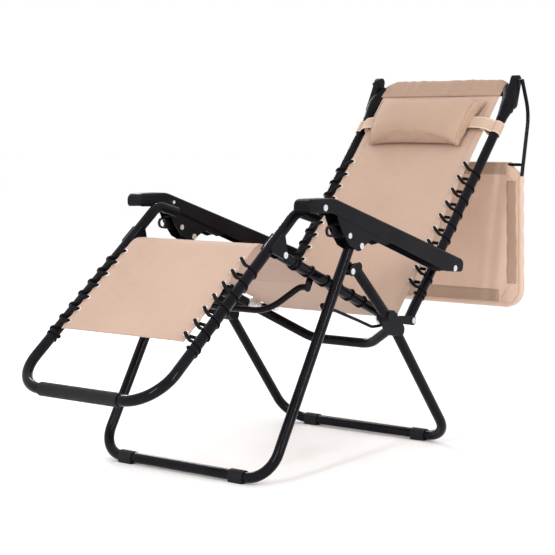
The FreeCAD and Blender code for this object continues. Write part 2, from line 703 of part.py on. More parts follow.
def make_footrest():
    """Hoop of the footrest, its ears at the knee, grip sleeve and sling."""
    route = [point("foot_top"), point("foot_bend"), FOOT_BAR]
    keep(hoop(route, SEAT, [dim("foot_top_bend"), dim("foot_bend")]), "footrest_frame")
    along = frame_along(foot_place, KNEE)
    ears = []
    for _, side in SIDES:
        for inner in (SEAT - R_TUBE - GAP - PLATE, SEAT + R_TUBE + GAP):
            reach, foot_r = dim("knee_ear_reach"), dim("knee_ear_foot_r")
            low, high = in_frame(foot_place, along - reach), in_frame(foot_place, along + reach)
            ears.append(plate(disc_hull([(*KNEE, dim("knee_ear_r")), (*high, foot_r), (*low, foot_r)]),
                              side_low(side, inner, PLATE), "Dimensions.plate",
                              [(*KNEE, R_BORE)]))
    group("knee_ears", ears)
    group("knee_rivets", [rivet(KNEE, side, SEAT - R_TUBE - 2 * GAP - PLATE,
                                SEAT + R_TUBE + 2 * GAP + PLATE) for _, side in SIDES])
    sleeve_half = dim("grip_half")
    sleeve = drum(FOOT_BAR, 1, -sleeve_half, sleeve_half, "Dimensions.tube_d / 2 + Dimensions.grip_shell")
    bore = drum(FOOT_BAR, 1, -sleeve_half - 1, sleeve_half + 1, "Dimensions.tube_d / 2 + 0.05")
    keep(cut(sleeve, bore), "foot_bar_grip")
    sling_panel("leg", foot_place, LEG_PANEL_START, frame_along(foot_place, KNEE) - KNEE_OVERLAP)


# ---------------------------------------------------------------- armrests

def make_armrests():
    """Hollow plastic armrests on steel rails, with their rivets."""
    inner, width, wall = dim("arm_inner"), dim("arm_width"), dim("arm_wall")
    outline, cavity = OUTLINES["armrest_shell"], OUTLINES["armrest_hollow"]
    top_round = dim("arm_top_round")
    front, rear = point("arm_front"), point("arm_rear")
    disc_height = dim("arm_disc_height")
    washers = []
    for name, side in SIDES:
        shell = plate(rounded_outline(list(reversed(outline))),
                      side_low(side, inner, width), "Dimensions.arm_width")
        hollow = plate(rounded_outline(list(reversed(cavity))),
                       side_low(side, inner + wall, width - 2 * wall),
                       "Dimensions.arm_width - 2 * Dimensions.arm_wall")
        top = doc.addObject("Part::Fillet", "SoftTop")
        top.Base = shell
        doc.recompute()
        top.Edges = [(number, top_round, top_round) for number in long_top_edges(shell.Shape)]
        doc.recompute()
        keep(cut(top, hollow), "armrest_" + name)
        rail = plate(rounded_outline(list(reversed(OUTLINES["armrest_rail"]))),
                     side_low(side, LEG - dim("rail_width") / 2, dim("rail_width")),
                     "Dimensions.rail_width")
        keep(rail, "armrest_rail_" + name)
        heads = [drum(front, side, SEAT + R_TUBE + GAP, inner, PIN),
                 drum(point("arm_disc"), side, inner + width, inner + width + disc_height,
                      "Dimensions.arm_disc_d / 2"),
                 head(rear, side, inner + width)]
        group("armrest_rivets_" + name, heads)
        washers.append(drum(rear, side, BACK + R_TUBE + GAP, inner - GAP,
                            "Dimensions.arm_washer_d / 2"))
    group("arm_spacers", washers)


def long_top_edges(shape):
    """Edges along the upper rim of an armrest: long, and above its skirt line."""
    found = []
    for number, edge in enumerate(shape.Edges, start=1):
        middle = edge.valueAt((edge.FirstParameter + edge.LastParameter) / 2)
        along_x = abs(edge.BoundBox.XLength) > 1
        rim = ARM_RIM_HEIGHT - ARM_RIM_FALL * max(0.0, middle.y - ARM_RIM_BEND)
        if not along_x and middle.z > rim:
            found.append(number)
    return found


# ---------------------------------------------------------------- slide brackets and levers

def make_slide_brackets():
    """Pairs of plates on the leg tops that the armrest rails slide through."""
    outline = OUTLINES["slide_bracket"]
    inner_plate, outer_plate = dim("bracket_inner"), dim("bracket_outer")
    lever_bore = R_PIN - 1
    ring, gauge, lip = point("lever_ring"), dim("lever_gauge"), dim("pin_lip")
    rivets = []
    for name, side in SIDES:
        members = [plate(rounded_outline(outline), side_low(side, inner, EAR),
                         "Dimensions.ear_plate",
                         [(*SLIDER, R_BORE), (*LEVER, lever_bore)])
                   for inner in (inner_plate, outer_plate)]
        members += [drum(spot, side, inner_plate + EAR, outer_plate, "Dimensions.pin_d / 2 - 1")
                    for spot in BRACKET_SPACERS]
        group("slide_bracket_" + name, members)
        rivets.append(rivet(SLIDER, side, inner_plate - GAP, outer_plate + EAR + GAP))
        pin = drum(LEVER, side, inner_plate, outer_plate + EAR, "Dimensions.pin_d / 2 - 1")
        ends = [drum(LEVER, side, inner_plate - lip, inner_plate, "Dimensions.head_d / 2 - 1"),
                drum(LEVER, side, outer_plate + EAR, outer_plate + EAR + lip,
                     "Dimensions.head_d / 2 - 1")]
        keep(fuse([pin] + ends), "lever_pin_" + name)
        lever = plate(disc_hull([(*ring, dim("ring_r")), (*LEVER, dim("lever_eye_r"))]),
                      side_low(side, LEG - gauge / 2, gauge), "Dimensions.lever_gauge",
                      [(*ring, dim("ring_hole_r")), (*LEVER, lever_bore + dim("pin_play"))])
        keep(lever, "lock_lever_" + name)
    group("slider_rivets", rivets)


# ---------------------------------------------------------------- canopy

def make_canopy():
    """U of thin tube that hangs behind the head end, with its cover."""
    half = dim("canopy_half")
    route = [CANOPY] + ROUTES["canopy"]
    radii = BENDS["canopy"] + [dim("canopy_bend")]
    keep(hoop(route, half, radii, "canopy_d"), "canopy_frame")
    side_radius = dim("canopy_d") / 2
    cross = drum(CANOPY_CROSS, 1, -half + side_radius, half - side_radius,
                 "Dimensions.canopy_d / 2 - 1")
    keep(cross, "canopy_cross_tube")
    front = -side_radius - dim("cover_gap")
    gauge = dim("cover_gauge")
    top, bend, low = [(y + front, z) for y, z in ROUTES["canopy_cover"]]
    curves = [Part.LineSegment(Vector(*top, 0), Vector(*bend, 0)),
              Part.LineSegment(Vector(*bend, 0), Vector(*low, 0)),
              Part.LineSegment(Vector(*low, 0), Vector(low[0] - gauge, low[1], 0)),
              Part.LineSegment(Vector(low[0] - gauge, low[1], 0), Vector(bend[0] - gauge, bend[1], 0)),
              Part.LineSegment(Vector(bend[0] - gauge, bend[1], 0), Vector(top[0] - gauge, top[1], 0)),
              Part.LineSegment(Vector(top[0] - gauge, top[1], 0), Vector(*top, 0))]
    keep(plate(curves, -half, "2 * Dimensions.canopy_half"), "canopy_cover")
    rivets = []
    for _, side in SIDES:
        inner = BACK + R_TUBE - GAP
        outer = half - side_radius
        shank = drum(CANOPY, side, inner, outer + 3, "Dimensions.pin_d / 2 - 2")
        ends = [drum(CANOPY, side, inner - dim("cover_rivet_lip"), inner,
                     "Dimensions.head_d / 2 - 2")]
        rivets.append(fuse([shank] + ends))
    bodies = [cut(item, eye) for item, eye in zip(rivets, canopy_ends())]
    group("canopy_rivets", bodies)


def canopy_ends():
    """The volume that the ends of the canopy tube take up."""
    half = dim("canopy_half")
    ends = []
    for _, side in SIDES:
        ends.append(rod([at(side * half, CANOPY), at(side * half, ROUTES["canopy"][0])], [],
                        "Dimensions.canopy_d / 2"))
    return ends


# ---------------------------------------------------------------- pillow

def make_pillow():
    """Head pillow on the front of the back sling, with its elastic straps."""
    half, low, length = dim("pillow_half"), dim("pillow_low"), dim("pillow_length")
    base = dim("sling_lift") + dim("sling_gauge") + 1
    block = doc.addObject("Part::Box", "PillowBlock")
    block.setExpression("Length", "2 * Dimensions.pillow_half")
    block.setExpression("Width", "Dimensions.pillow_length")
    block.setExpression("Height", "Dimensions.pillow_height")
    block.Placement = back_place.multiply(Placement(Vector(-half, low, base), Rotation()))
    doc.recompute()
    soft = doc.addObject("Part::Fillet", "SoftPillow")
    soft.Base = block
    radius = dim("pillow_round")
    soft.Edges = [(number, radius, radius) for number in range(1, 13)]
    keep(soft, "head_pillow")
    straps = []
    along = low + length / 2 - dim("strap_width") / 2
    for _, side in SIDES:
        outer = strap_body(side, dim("strap_play") + dim("strap_gauge"), along)
        inner = strap_body(side, dim("strap_play"), along)
        straps.append(cut(outer, inner))
    group("pillow_straps", straps)


def strap_body(side, skin, along):
    """A tube-hugging outline across the chair, extended along the backrest."""
    edge = side * (dim("pillow_half") + dim("strap_edge"))
    discs = [(edge, dim("strap_rise"), dim("strap_edge_r") + skin),
             (side * BACK, 0, R_TUBE + skin)]
    curves = disc_hull(discs)
    wire = Part.Wire(Part.__sortEdges__([curve.toShape() for curve in curves]))
    wire.rotate(Vector(0, 0, 0), Vector(1, 0, 0), 90)
    solid = doc.addObject("Part::Feature", "StrapLoop")
    solid.Shape = Part.Face(wire).extrude(Vector(0, dim("strap_width"), 0))
    solid.Placement = back_place.multiply(Placement(Vector(0, along, 0), Rotation()))
    return solid


# ---------------------------------------------------------------- build, check and export

make_front_legs()
make_rear_legs()
make_links()
make_seat()
make_backrest()
make_hip_and_knee()
make_footrest()
make_armrests()
make_slide_brackets()
make_canopy()
make_pillow()
doc.recompute()

failed = [obj.Label for obj in doc.Objects
          if "Invalid" in obj.State or "Error" in obj.State]
for obj in nodes:
    if obj.Shape.isNull() or not obj.Shape.isValid() or not obj.Shape.Solids:
        failed.append(obj.Label)
if failed:
    raise RuntimeError("not built: " + ", ".join(sorted(set(failed))))

os.makedirs("parts", exist_ok=True)
for obj in nodes:
    obj.Shape.exportStep("parts/" + obj.Label + ".step")
whole = Part.makeCompound([obj.Shape for obj in nodes]).BoundBox
print("%d sub-parts, box x %.1f..%.1f y %.1f..%.1f z %.1f..%.1f" % (
    len(nodes), whole.XMin, whole.XMax, whole.YMin, whole.YMax, whole.ZMin, whole.ZMax))
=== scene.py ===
"""Looks of the zero gravity recliner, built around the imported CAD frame.

Everything is in metres in the frame of the CAD: +Z up, +X the sitter's left, foot end at -Y.
The sling is described in three side-view frames (leg, seat, back), as in the CAD source:
s runs along the panel, lift is the height above the plane of the tube axes.
"""
import json
import math

import bmesh
import bpy
from mathutils import Vector, noise
from mathutils.bvhtree import BVHTree
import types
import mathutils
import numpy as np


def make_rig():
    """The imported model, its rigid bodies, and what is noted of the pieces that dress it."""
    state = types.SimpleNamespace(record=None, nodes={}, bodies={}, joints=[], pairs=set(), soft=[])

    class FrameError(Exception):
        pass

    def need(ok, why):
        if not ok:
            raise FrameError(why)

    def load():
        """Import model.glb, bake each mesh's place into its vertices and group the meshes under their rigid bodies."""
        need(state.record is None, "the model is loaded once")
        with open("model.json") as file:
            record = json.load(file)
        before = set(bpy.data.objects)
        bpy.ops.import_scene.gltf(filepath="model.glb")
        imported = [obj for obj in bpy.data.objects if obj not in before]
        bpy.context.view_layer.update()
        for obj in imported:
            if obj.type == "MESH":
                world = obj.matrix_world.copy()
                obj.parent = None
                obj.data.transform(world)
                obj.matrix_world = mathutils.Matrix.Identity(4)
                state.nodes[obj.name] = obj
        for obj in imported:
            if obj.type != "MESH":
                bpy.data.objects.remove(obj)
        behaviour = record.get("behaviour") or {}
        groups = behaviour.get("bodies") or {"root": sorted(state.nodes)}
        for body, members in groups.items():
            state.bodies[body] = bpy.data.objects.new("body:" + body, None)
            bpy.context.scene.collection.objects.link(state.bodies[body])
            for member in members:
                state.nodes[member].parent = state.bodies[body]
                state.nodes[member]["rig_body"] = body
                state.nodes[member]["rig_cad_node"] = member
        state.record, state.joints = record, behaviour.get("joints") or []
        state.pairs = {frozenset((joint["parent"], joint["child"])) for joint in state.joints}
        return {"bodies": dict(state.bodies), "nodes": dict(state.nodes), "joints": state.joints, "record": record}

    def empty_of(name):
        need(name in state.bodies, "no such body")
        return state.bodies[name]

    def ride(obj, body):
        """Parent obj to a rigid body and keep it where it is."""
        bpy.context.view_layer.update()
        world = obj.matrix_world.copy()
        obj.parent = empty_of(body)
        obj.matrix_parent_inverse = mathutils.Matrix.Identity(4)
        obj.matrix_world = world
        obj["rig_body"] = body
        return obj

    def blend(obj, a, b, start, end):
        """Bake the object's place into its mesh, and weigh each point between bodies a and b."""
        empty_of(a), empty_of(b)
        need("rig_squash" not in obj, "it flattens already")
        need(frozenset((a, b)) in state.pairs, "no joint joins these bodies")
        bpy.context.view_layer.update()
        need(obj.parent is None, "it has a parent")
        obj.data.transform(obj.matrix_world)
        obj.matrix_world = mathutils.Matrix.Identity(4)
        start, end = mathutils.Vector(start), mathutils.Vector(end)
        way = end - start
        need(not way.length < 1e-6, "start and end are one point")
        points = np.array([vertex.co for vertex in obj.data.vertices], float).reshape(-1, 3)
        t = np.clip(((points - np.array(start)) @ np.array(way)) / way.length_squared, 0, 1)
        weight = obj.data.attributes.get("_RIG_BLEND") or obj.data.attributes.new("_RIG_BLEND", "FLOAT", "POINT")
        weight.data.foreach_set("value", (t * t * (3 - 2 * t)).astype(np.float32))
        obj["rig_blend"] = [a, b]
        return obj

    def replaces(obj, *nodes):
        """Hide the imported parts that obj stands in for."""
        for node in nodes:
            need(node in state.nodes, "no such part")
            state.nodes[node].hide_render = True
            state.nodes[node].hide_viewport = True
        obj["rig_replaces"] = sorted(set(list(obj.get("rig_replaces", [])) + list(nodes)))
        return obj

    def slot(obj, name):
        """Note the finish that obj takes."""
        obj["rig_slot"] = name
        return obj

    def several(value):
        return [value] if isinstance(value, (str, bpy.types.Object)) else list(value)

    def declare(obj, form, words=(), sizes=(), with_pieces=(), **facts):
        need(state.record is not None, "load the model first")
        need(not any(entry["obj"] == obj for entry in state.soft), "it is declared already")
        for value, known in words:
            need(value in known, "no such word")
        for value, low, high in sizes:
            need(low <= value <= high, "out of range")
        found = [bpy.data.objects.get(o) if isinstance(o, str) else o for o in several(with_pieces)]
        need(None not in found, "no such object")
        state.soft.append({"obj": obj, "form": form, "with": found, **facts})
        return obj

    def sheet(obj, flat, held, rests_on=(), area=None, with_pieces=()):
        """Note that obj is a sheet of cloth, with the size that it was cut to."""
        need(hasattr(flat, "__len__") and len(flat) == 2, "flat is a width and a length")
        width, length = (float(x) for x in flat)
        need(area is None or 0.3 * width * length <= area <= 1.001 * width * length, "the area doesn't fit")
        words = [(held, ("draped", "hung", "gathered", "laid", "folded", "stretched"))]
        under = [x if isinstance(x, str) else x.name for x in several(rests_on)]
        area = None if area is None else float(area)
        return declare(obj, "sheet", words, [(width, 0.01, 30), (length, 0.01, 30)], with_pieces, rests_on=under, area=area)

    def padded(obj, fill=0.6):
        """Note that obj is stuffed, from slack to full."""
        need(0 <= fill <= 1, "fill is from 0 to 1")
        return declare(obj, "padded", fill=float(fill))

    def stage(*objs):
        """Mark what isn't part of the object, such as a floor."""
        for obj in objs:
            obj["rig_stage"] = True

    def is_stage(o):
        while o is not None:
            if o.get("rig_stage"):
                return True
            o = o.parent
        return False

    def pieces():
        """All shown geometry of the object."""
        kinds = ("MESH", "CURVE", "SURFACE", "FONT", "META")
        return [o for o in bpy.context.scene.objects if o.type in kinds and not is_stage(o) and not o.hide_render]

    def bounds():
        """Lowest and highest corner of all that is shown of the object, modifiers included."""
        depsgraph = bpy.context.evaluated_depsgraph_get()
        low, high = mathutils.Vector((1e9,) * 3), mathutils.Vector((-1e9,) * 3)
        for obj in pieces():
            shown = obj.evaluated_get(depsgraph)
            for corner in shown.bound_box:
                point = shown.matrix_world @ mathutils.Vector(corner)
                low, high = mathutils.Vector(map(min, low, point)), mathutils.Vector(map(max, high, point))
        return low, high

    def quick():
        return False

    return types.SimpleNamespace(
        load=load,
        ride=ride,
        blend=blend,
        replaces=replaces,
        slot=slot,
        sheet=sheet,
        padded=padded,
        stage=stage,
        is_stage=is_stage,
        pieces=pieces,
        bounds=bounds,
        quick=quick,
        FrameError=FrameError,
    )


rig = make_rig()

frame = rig.load()
cad_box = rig.bounds()

# ---------------------------------------------------------------- measures

# where each panel's s starts, as (y, z), and its slope in degrees
KNEE = (-0.3433, 0.612)
BACK_HINGE = (0.2447, 0.385)
FOOT_BAR = (-0.8323, 0.264)
PANELS = {"seat": (KNEE, -23.3), "back": (BACK_HINGE, 50.5), "leg": (FOOT_BAR, 39.5)}

TUBE_R = 0.015           # frame tubes
TUBE_X = 0.265           # their axes beside the sling
SLING_HALF = 0.235       # half the sling's width
SLING_LIFT = 0.017       # its middle above the tube axes
SLING_SAG = {"leg": 0.0005, "seat": 0.009, "back": 0.006}
LEG_END = 0.205          # s of the sling's foot end
SEAM_S = 0.858           # s where the top sleeve is sewn on
TOP_BAR_S = 0.915
BACK_BEND = 0.075        # bend radius at the top corners
EYELET_X = 0.2214
EYELETS = {
    "back": (0.132, 0.181, 0.230, 0.279, 0.328, 0.377, 0.427, 0.477, 0.527, 0.580),
    "seat": (0.104, 0.190, 0.250, 0.310, 0.370, 0.430),
    "leg": (0.232, 0.279, 0.326, 0.373, 0.420, 0.467, 0.514),
}
CORD_R = 0.0050          # the free rounds, which run double
CORD_TIGHT = 0.0026      # where the cord is pulled flat round a tube
CLOTH = 0.0014           # single layer
HEM = 0.0012             # what a hem adds
THREAD_SHIFT = 0.0007    # the underside's weave against the upper side's

PILLOW_S = (0.632, 0.832)
PILLOW_LIFT = (0.0195, 0.078)    # its back on the sling, its crown
PILLOW_HALF = 0.200      # half its width in the middle
PILLOW_FLARE = 0.014     # what the top edge adds to that
PILLOW_SEAM = 0.012      # the outline above the pillow's back
STRAP_S = 0.732
STRAP_WIDTH = 0.045

CANOPY_HALF = 0.295      # the side tubes' axes
CANOPY_TUBE_R = 0.006
CANOPY_BEND = 0.060      # bend radius at the low corners


def spot(panel, x, s, lift):
    """A point of a sling frame in the model frame."""
    (y, z), slope = PANELS[panel]
    a = math.radians(slope)
    return Vector((x, y + s * math.cos(a) - lift * math.sin(a),
                   z + s * math.sin(a) + lift * math.cos(a)))


def along(panel):
    """The panel's own s direction."""
    a = math.radians(PANELS[panel][1])
    return Vector((0, math.cos(a), math.sin(a)))


def upward(panel):
    """The direction of lift, square to the panel."""
    a = math.radians(PANELS[panel][1])
    return Vector((0, -math.sin(a), math.cos(a)))


# ---------------------------------------------------------------- materials

RELIEF = 0.0003          # depth of grain and weave


def new_material(name, color, rough, metal=0.0, specular=0.5, sheen=0.0):
    """A Principled material and a small helper that adds linked nodes to it."""
    mat = bpy.data.materials.new(name)
    mat.use_nodes = True
    tree = mat.node_tree
    bsdf = tree.nodes["Principled BSDF"]
    bsdf.inputs["Base Color"].default_value = (*color, 1)
    bsdf.inputs["Roughness"].default_value = rough
    bsdf.inputs["Metallic"].default_value = metal
    bsdf.inputs["Specular IOR Level"].default_value = specular
    bsdf.inputs["Sheen Weight"].default_value = sheen
    bsdf.inputs["Sheen Roughness"].default_value = 0.5

    def add(kind, links=(), **values):
        node = tree.nodes.new(kind)
        for key, value in values.items():
            if key in node.inputs:
                node.inputs[key].default_value = value
            else:
                setattr(node, key, value)
        for socket, source in links:
            tree.links.new(source, node.inputs[socket])
        return node

    return mat, add, bsdf, tree


def ramp(add, source, stops):
    """A colour ramp over the source, with (place, color) stops."""
    node = add("ShaderNodeValToRGB", [("Fac", source)])
    while len(node.color_ramp.elements) < len(stops):
        node.color_ramp.elements.new(0.5)
    for element, (place, color) in zip(node.color_ramp.elements, stops):
        element.position = place
        element.color = (*color, 1)
    return node.outputs["Color"]


def rough_range(add, tree, bsdf, source, low, high):
    """Roughness from low to high over the middle of the source's range."""
    node = add("ShaderNodeMapRange", [("Value", source)],
               **{"From Min": 0.3, "From Max": 0.7, "To Min": low, "To Max": high})
    tree.links.new(node.outputs["Result"], bsdf.inputs["Roughness"])


def grained(name, dark, light, rough, grain, bump, spread=9.0, **finish):
    """Paint, plastic, rubber or metal: drifting tone, uneven gloss and a fine grain."""
    mat, add, bsdf, tree = new_material(name, light, sum(rough) / 2, **finish)
    coords = add("ShaderNodeTexCoord").outputs["Object"]
    drift = add("ShaderNodeTexNoise", [("Vector", coords)], Scale=spread, Detail=4.0)
    fine = add("ShaderNodeTexNoise", [("Vector", coords)], Scale=grain, Detail=3.0)
    tree.links.new(ramp(add, drift.outputs["Fac"], [(0.35, dark), (0.65, light)]),
                   bsdf.inputs["Base Color"])
    smudge = add("ShaderNodeTexNoise", [("Vector", coords)], Scale=spread * 4, Detail=6.0)
    rough_range(add, tree, bsdf, smudge.outputs["Fac"], *rough)
    relief = add("ShaderNodeBump", [("Height", fine.outputs["Fac"])], Strength=bump,
                 Distance=RELIEF)
    tree.links.new(relief.outputs["Normal"], bsdf.inputs["Normal"])
    return mat


def woven(name, dark, light, pitch, bump, rough=(0.62, 0.78), sheen=0.12, specular=0.25):
    """Woven cloth: warp and weft from the UVs in metres, slubs and soft drifting tone."""
    mat, add, bsdf, tree = new_material(name, light, sum(rough) / 2, sheen=sheen,
                                        specular=specular)
    uv = add("ShaderNodeTexCoord").outputs["UV"]
    coords = add("ShaderNodeTexCoord").outputs["Object"]
    wave_scale = 2 * math.pi / 20 / pitch    # a Wave texture repeats every 2 pi / 20 at scale 1
    threads = [add("ShaderNodeTexWave", [("Vector", uv)], Scale=wave_scale, bands_direction=way)
               for way in ("X", "Y")]
    stretched = [add("ShaderNodeMapping", [("Vector", uv)], Scale=stretch)
                 for stretch in ((30, 420, 1), (420, 30, 1))]
    slubs = [add("ShaderNodeTexNoise", [("Vector", m.outputs["Vector"])], Scale=1.0, Detail=2.0)
             for m in stretched]
    weave = add("ShaderNodeMath", [(0, threads[0].outputs["Fac"]), (1, threads[1].outputs["Fac"])],
                operation="MAXIMUM")
    slub = add("ShaderNodeMath", [(0, slubs[0].outputs["Fac"]), (1, slubs[1].outputs["Fac"])],
               operation="MULTIPLY")
    drift = add("ShaderNodeTexNoise", [("Vector", coords)], Scale=5.0, Detail=3.0)
    tone = add("ShaderNodeMath", [(0, slub.outputs[0]), (1, drift.outputs["Fac"])],
               operation="ADD")
    mixed = add("ShaderNodeMath", [(0, weave.outputs[0]), (1, tone.outputs[0])],
                operation="ADD")
    share = add("ShaderNodeMath", [(0, mixed.outputs[0])], operation="MULTIPLY")
    share.inputs[1].default_value = 0.55    # brings the sum back to about 0 to 1
    tree.links.new(ramp(add, share.outputs[0], [(0.45, dark), (0.95, light)]),
                   bsdf.inputs["Base Color"])
    rough_range(add, tree, bsdf, drift.outputs["Fac"], *rough)
    relief = add("ShaderNodeBump", [("Height", weave.outputs[0])], Strength=bump, Distance=RELIEF)
    uneven = add("ShaderNodeBump",
                 [("Height", slub.outputs[0]), ("Normal", relief.outputs["Normal"])],
                 Strength=bump * 0.6, Distance=0.0004)
    tree.links.new(uneven.outputs["Normal"], bsdf.inputs["Normal"])
    return mat


# each: darker and lighter tone, roughness range, scale of the grain, bump strength
steel = grained("painted_steel", (0.003, 0.0025, 0.004), (0.006, 0.005, 0.008), (0.09, 0.16),
                900, 0.05, specular=0.11)
plastic = grained("moulded_plastic", (0.004, 0.0035, 0.005), (0.008, 0.007, 0.010), (0.32, 0.44),
                  750, 0.22, specular=0.09)
lever_plastic = grained("lever_plastic", (0.006, 0.006, 0.007), (0.011, 0.011, 0.013),
                        (0.26, 0.38), 900, 0.12, specular=0.16)
rubber = grained("rubber", (0.006, 0.006, 0.007), (0.012, 0.012, 0.013), (0.55, 0.72), 500, 0.35,
                 specular=0.2)
zinc = grained("zinc", (0.62, 0.63, 0.66), (0.80, 0.81, 0.84), (0.20, 0.34), 1400, 0.10,
               spread=60, metal=1.0)
eyelet_metal = grained("eyelet_metal", (0.66, 0.65, 0.64), (0.84, 0.83, 0.82), (0.24, 0.38), 1500,
                       0.08, spread=60, metal=0.6)
# each: darker and lighter tone, thread pitch in metres, bump strength
sling_cloth = woven("sling_fabric", (0.402, 0.270, 0.199), (0.530, 0.369, 0.287), 0.0013, 0.28)
# the top sleeve is the sling's own fabric, made darker in part as painted shade of its folds and slope
sleeve_cloth_painted_shade = woven("sleeve_fabric_painted_shade", (0.300, 0.190, 0.134), (0.397, 0.260, 0.192), 0.0013, 0.28)
pillow_cloth = woven("pillow_fabric", (0.340, 0.225, 0.157), (0.464, 0.315, 0.232), 0.0010, 0.22)
canopy_cloth = woven("canopy_fabric", (0.505, 0.352, 0.264), (0.674, 0.482, 0.374), 0.0011, 0.22)
# the canopy's doubled edge bands are real cloth; their darker tone is painted shade
double_cloth_painted_shade = woven("double_fabric_painted_shade", (0.300, 0.200, 0.145), (0.410, 0.280, 0.206), 0.0011, 0.22)
strap_cloth = woven("strap_fabric", (0.400, 0.275, 0.198), (0.540, 0.385, 0.290), 0.0012, 0.3)
binding_cloth = woven("binding", (0.520, 0.390, 0.300), (0.640, 0.495, 0.395), 0.0009, 0.3)
thread = woven("thread", (0.50, 0.36, 0.26), (0.68, 0.51, 0.39), 0.0006, 0.4)
cord_cloth = woven("lacing_cord", (0.003, 0.003, 0.003), (0.010, 0.009, 0.010), 0.0016, 0.6,
                   sheen=0.0, specular=0.08)


def both(*parts):
    """Names of the left and right one of each part."""
    return tuple(part + "_" + hand for part in parts for hand in ("left", "right"))


CAD_FINISH = {
    steel: both("rear_leg_arm", "fold_link", "armrest_rail") + (
        "front_leg_frame", "rear_leg_frame", "seat_frame", "backrest_frame", "footrest_frame",
        "front_crossbar", "canopy_frame", "canopy_cross_tube", "crossbar_brackets",
        "back_hinge_plates", "knee_ears", "apex_lugs", "slider_lugs", "link_lugs", "apex_plates"),
    plastic: both("armrest", "slide_bracket", "rear_leg_hub") + (
        "canopy_brackets", "arm_spacers"),
    lever_plastic: both("lock_lever"),
    rubber: ("front_leg_feet", "rear_leg_feet", "foot_bar_grip"),
    zinc: both("armrest_rivets", "lever_pin") + (
        "apex_rivets", "hinge_plate_bolts", "back_rivets", "canopy_rivets", "knee_rivets",
        "link_studs", "seat_rivets", "slider_rivets"),
}
for finish, names in CAD_FINISH.items():
    for name in names:
        for place in frame["nodes"][name].material_slots:
            place.material = finish


SHARP_ANGLE = math.radians(38)
EDGE_WIDTHS = {"armrest": 0.0022, "slide_bracket": 0.0012, "rear_leg_hub": 0.0030}


def soften(name, width):
    """Rounds the sharp edges of one moulded part."""
    part = frame["nodes"][name]
    part.modifiers.new("Weld", "WELD").merge_threshold = 1e-5
    bevel = part.modifiers.new("Edges", "BEVEL")
    bevel.width, bevel.segments = width, 3
    bevel.limit_method, bevel.angle_limit = "ANGLE", SHARP_ANGLE


for moulding, edge_width in EDGE_WIDTHS.items():
    for name in both(moulding):
        soften(name, edge_width)


# ---------------------------------------------------------------- mesh helpers

class Shape:
    """Vertices, faces, UVs and material numbers gathered for one mesh."""

    def __init__(self):
        self.verts, self.faces, self.uvs, self.marks = [], [], [], []

    def add(self, verts, faces, uvs=None, mark=0):
        base = len(self.verts)
        self.verts += [tuple(v) for v in verts]
        self.uvs += uvs or [(v[0], v[1]) for v in verts]
        self.faces += [tuple(base + i for i in face) for face in faces]
        self.marks += [mark] * len(faces)

    def loft(self, rings, uvs=None, mark=0, caps=True):
        """Joins rings of equal length; uvs has a ring of pairs for each ring."""
        count = len(rings[0])
        faces = []
        for i in range(len(rings) - 1):
            for j in range(count):
                k = (j + 1) % count
                a, b = i * count, (i + 1) * count
                faces.append((a + j, a + k, b + k, b + j))
        if caps:
            faces.append(tuple(reversed(range(count))))
            last = (len(rings) - 1) * count
            faces.append(tuple(last + j for j in range(count)))
        flat = [v for ring in rings for v in ring]
        self.add(flat, faces, [p for ring in uvs for p in ring] if uvs else None, mark)

    def sweep(self, points, radius, sides=8):
        """A round bar along points, of one radius or a list; UVs in metres along and around."""
        points = [Vector(p) for p in points]
        rings, uvs, travelled = [], [], 0.0
        side = None
        for i, p in enumerate(points):
            ahead = points[min(i + 1, len(points) - 1)] - points[max(i - 1, 0)]
            ahead.normalize()
            if side is None:
                side = ahead.orthogonal().normalized()
            side = (side - ahead * side.dot(ahead)).normalized()
            other = ahead.cross(side)
            if i:
                travelled += (p - points[i - 1]).length
            r = radius[i] if hasattr(radius, "__len__") else radius
            turn = [2 * math.pi * j / sides for j in range(sides)]
            rings.append([p + (side * math.cos(t) + other * math.sin(t)) * r for t in turn])
            uvs.append([(t * r, travelled) for t in turn])
        self.loft(rings, uvs)

    def turned_ring(self, centre, axis, profile, sides=20):
        """Turns a closed profile of (radius, height) pairs round an axis."""
        axis = axis.normalized()
        side = axis.orthogonal().normalized()
        other = axis.cross(side)
        turn = [2 * math.pi * j / sides for j in range(sides)]
        rings = []
        for r, h in [*profile, profile[0]]:
            rings.append([centre + axis * h + (side * math.cos(t) + other * math.sin(t)) * r
                          for t in turn])
        uvs = [[(t * 0.01, i * 0.002) for t in turn] for i in range(len(rings))]
        self.loft(rings, uvs, caps=False)

    def build(self, name, materials):
        """The mesh as a smooth object in the scene."""
        mesh = bpy.data.meshes.new(name)
        mesh.from_pydata(self.verts, [], self.faces)
        for mat in materials:
            mesh.materials.append(mat)
        layer = mesh.uv_layers.new(name="UVMap")
        for polygon in mesh.polygons:
            polygon.material_index = self.marks[polygon.index]
            polygon.use_smooth = True
            for corner in polygon.loop_indices:
                layer.data[corner].uv = self.uvs[mesh.loops[corner].vertex_index]
        bm = bmesh.new()
        bm.from_mesh(mesh)
        bmesh.ops.recalc_face_normals(bm, faces=bm.faces)
        bm.to_mesh(mesh)
        bm.free()
        obj = bpy.data.objects.new(name, mesh)
        bpy.context.scene.collection.objects.link(obj)
        return obj


def averaged(values, reach=3):
    """Each value's mean with its neighbours."""
    windows = [values[max(0, i - reach):i + reach + 1] for i in range(len(values))]
    return [sum(window) / len(window) for window in windows]


def sharpen(obj, degrees=35):
    """Keeps the creases of a smooth object."""
    obj.data.set_sharp_from_angle(angle=math.radians(degrees))
    return obj


def smooth_path(points, steps=5):
    """A Catmull-Rom line through the points."""
    points = [Vector(p) for p in points]
    padded = [points[0] * 2 - points[1]] + points + [points[-1] * 2 - points[-2]]
    line = []
    for a, b, c, d in zip(padded, padded[1:], padded[2:], padded[3:]):
        for k in range(steps):
            t = k / steps
            line.append(0.5 * (2 * b + (c - a) * t + (2 * a - 5 * b + 4 * c - d) * t * t
                               + (3 * b - a - 3 * c + d) * t ** 3))
    return line + [points[-1]]


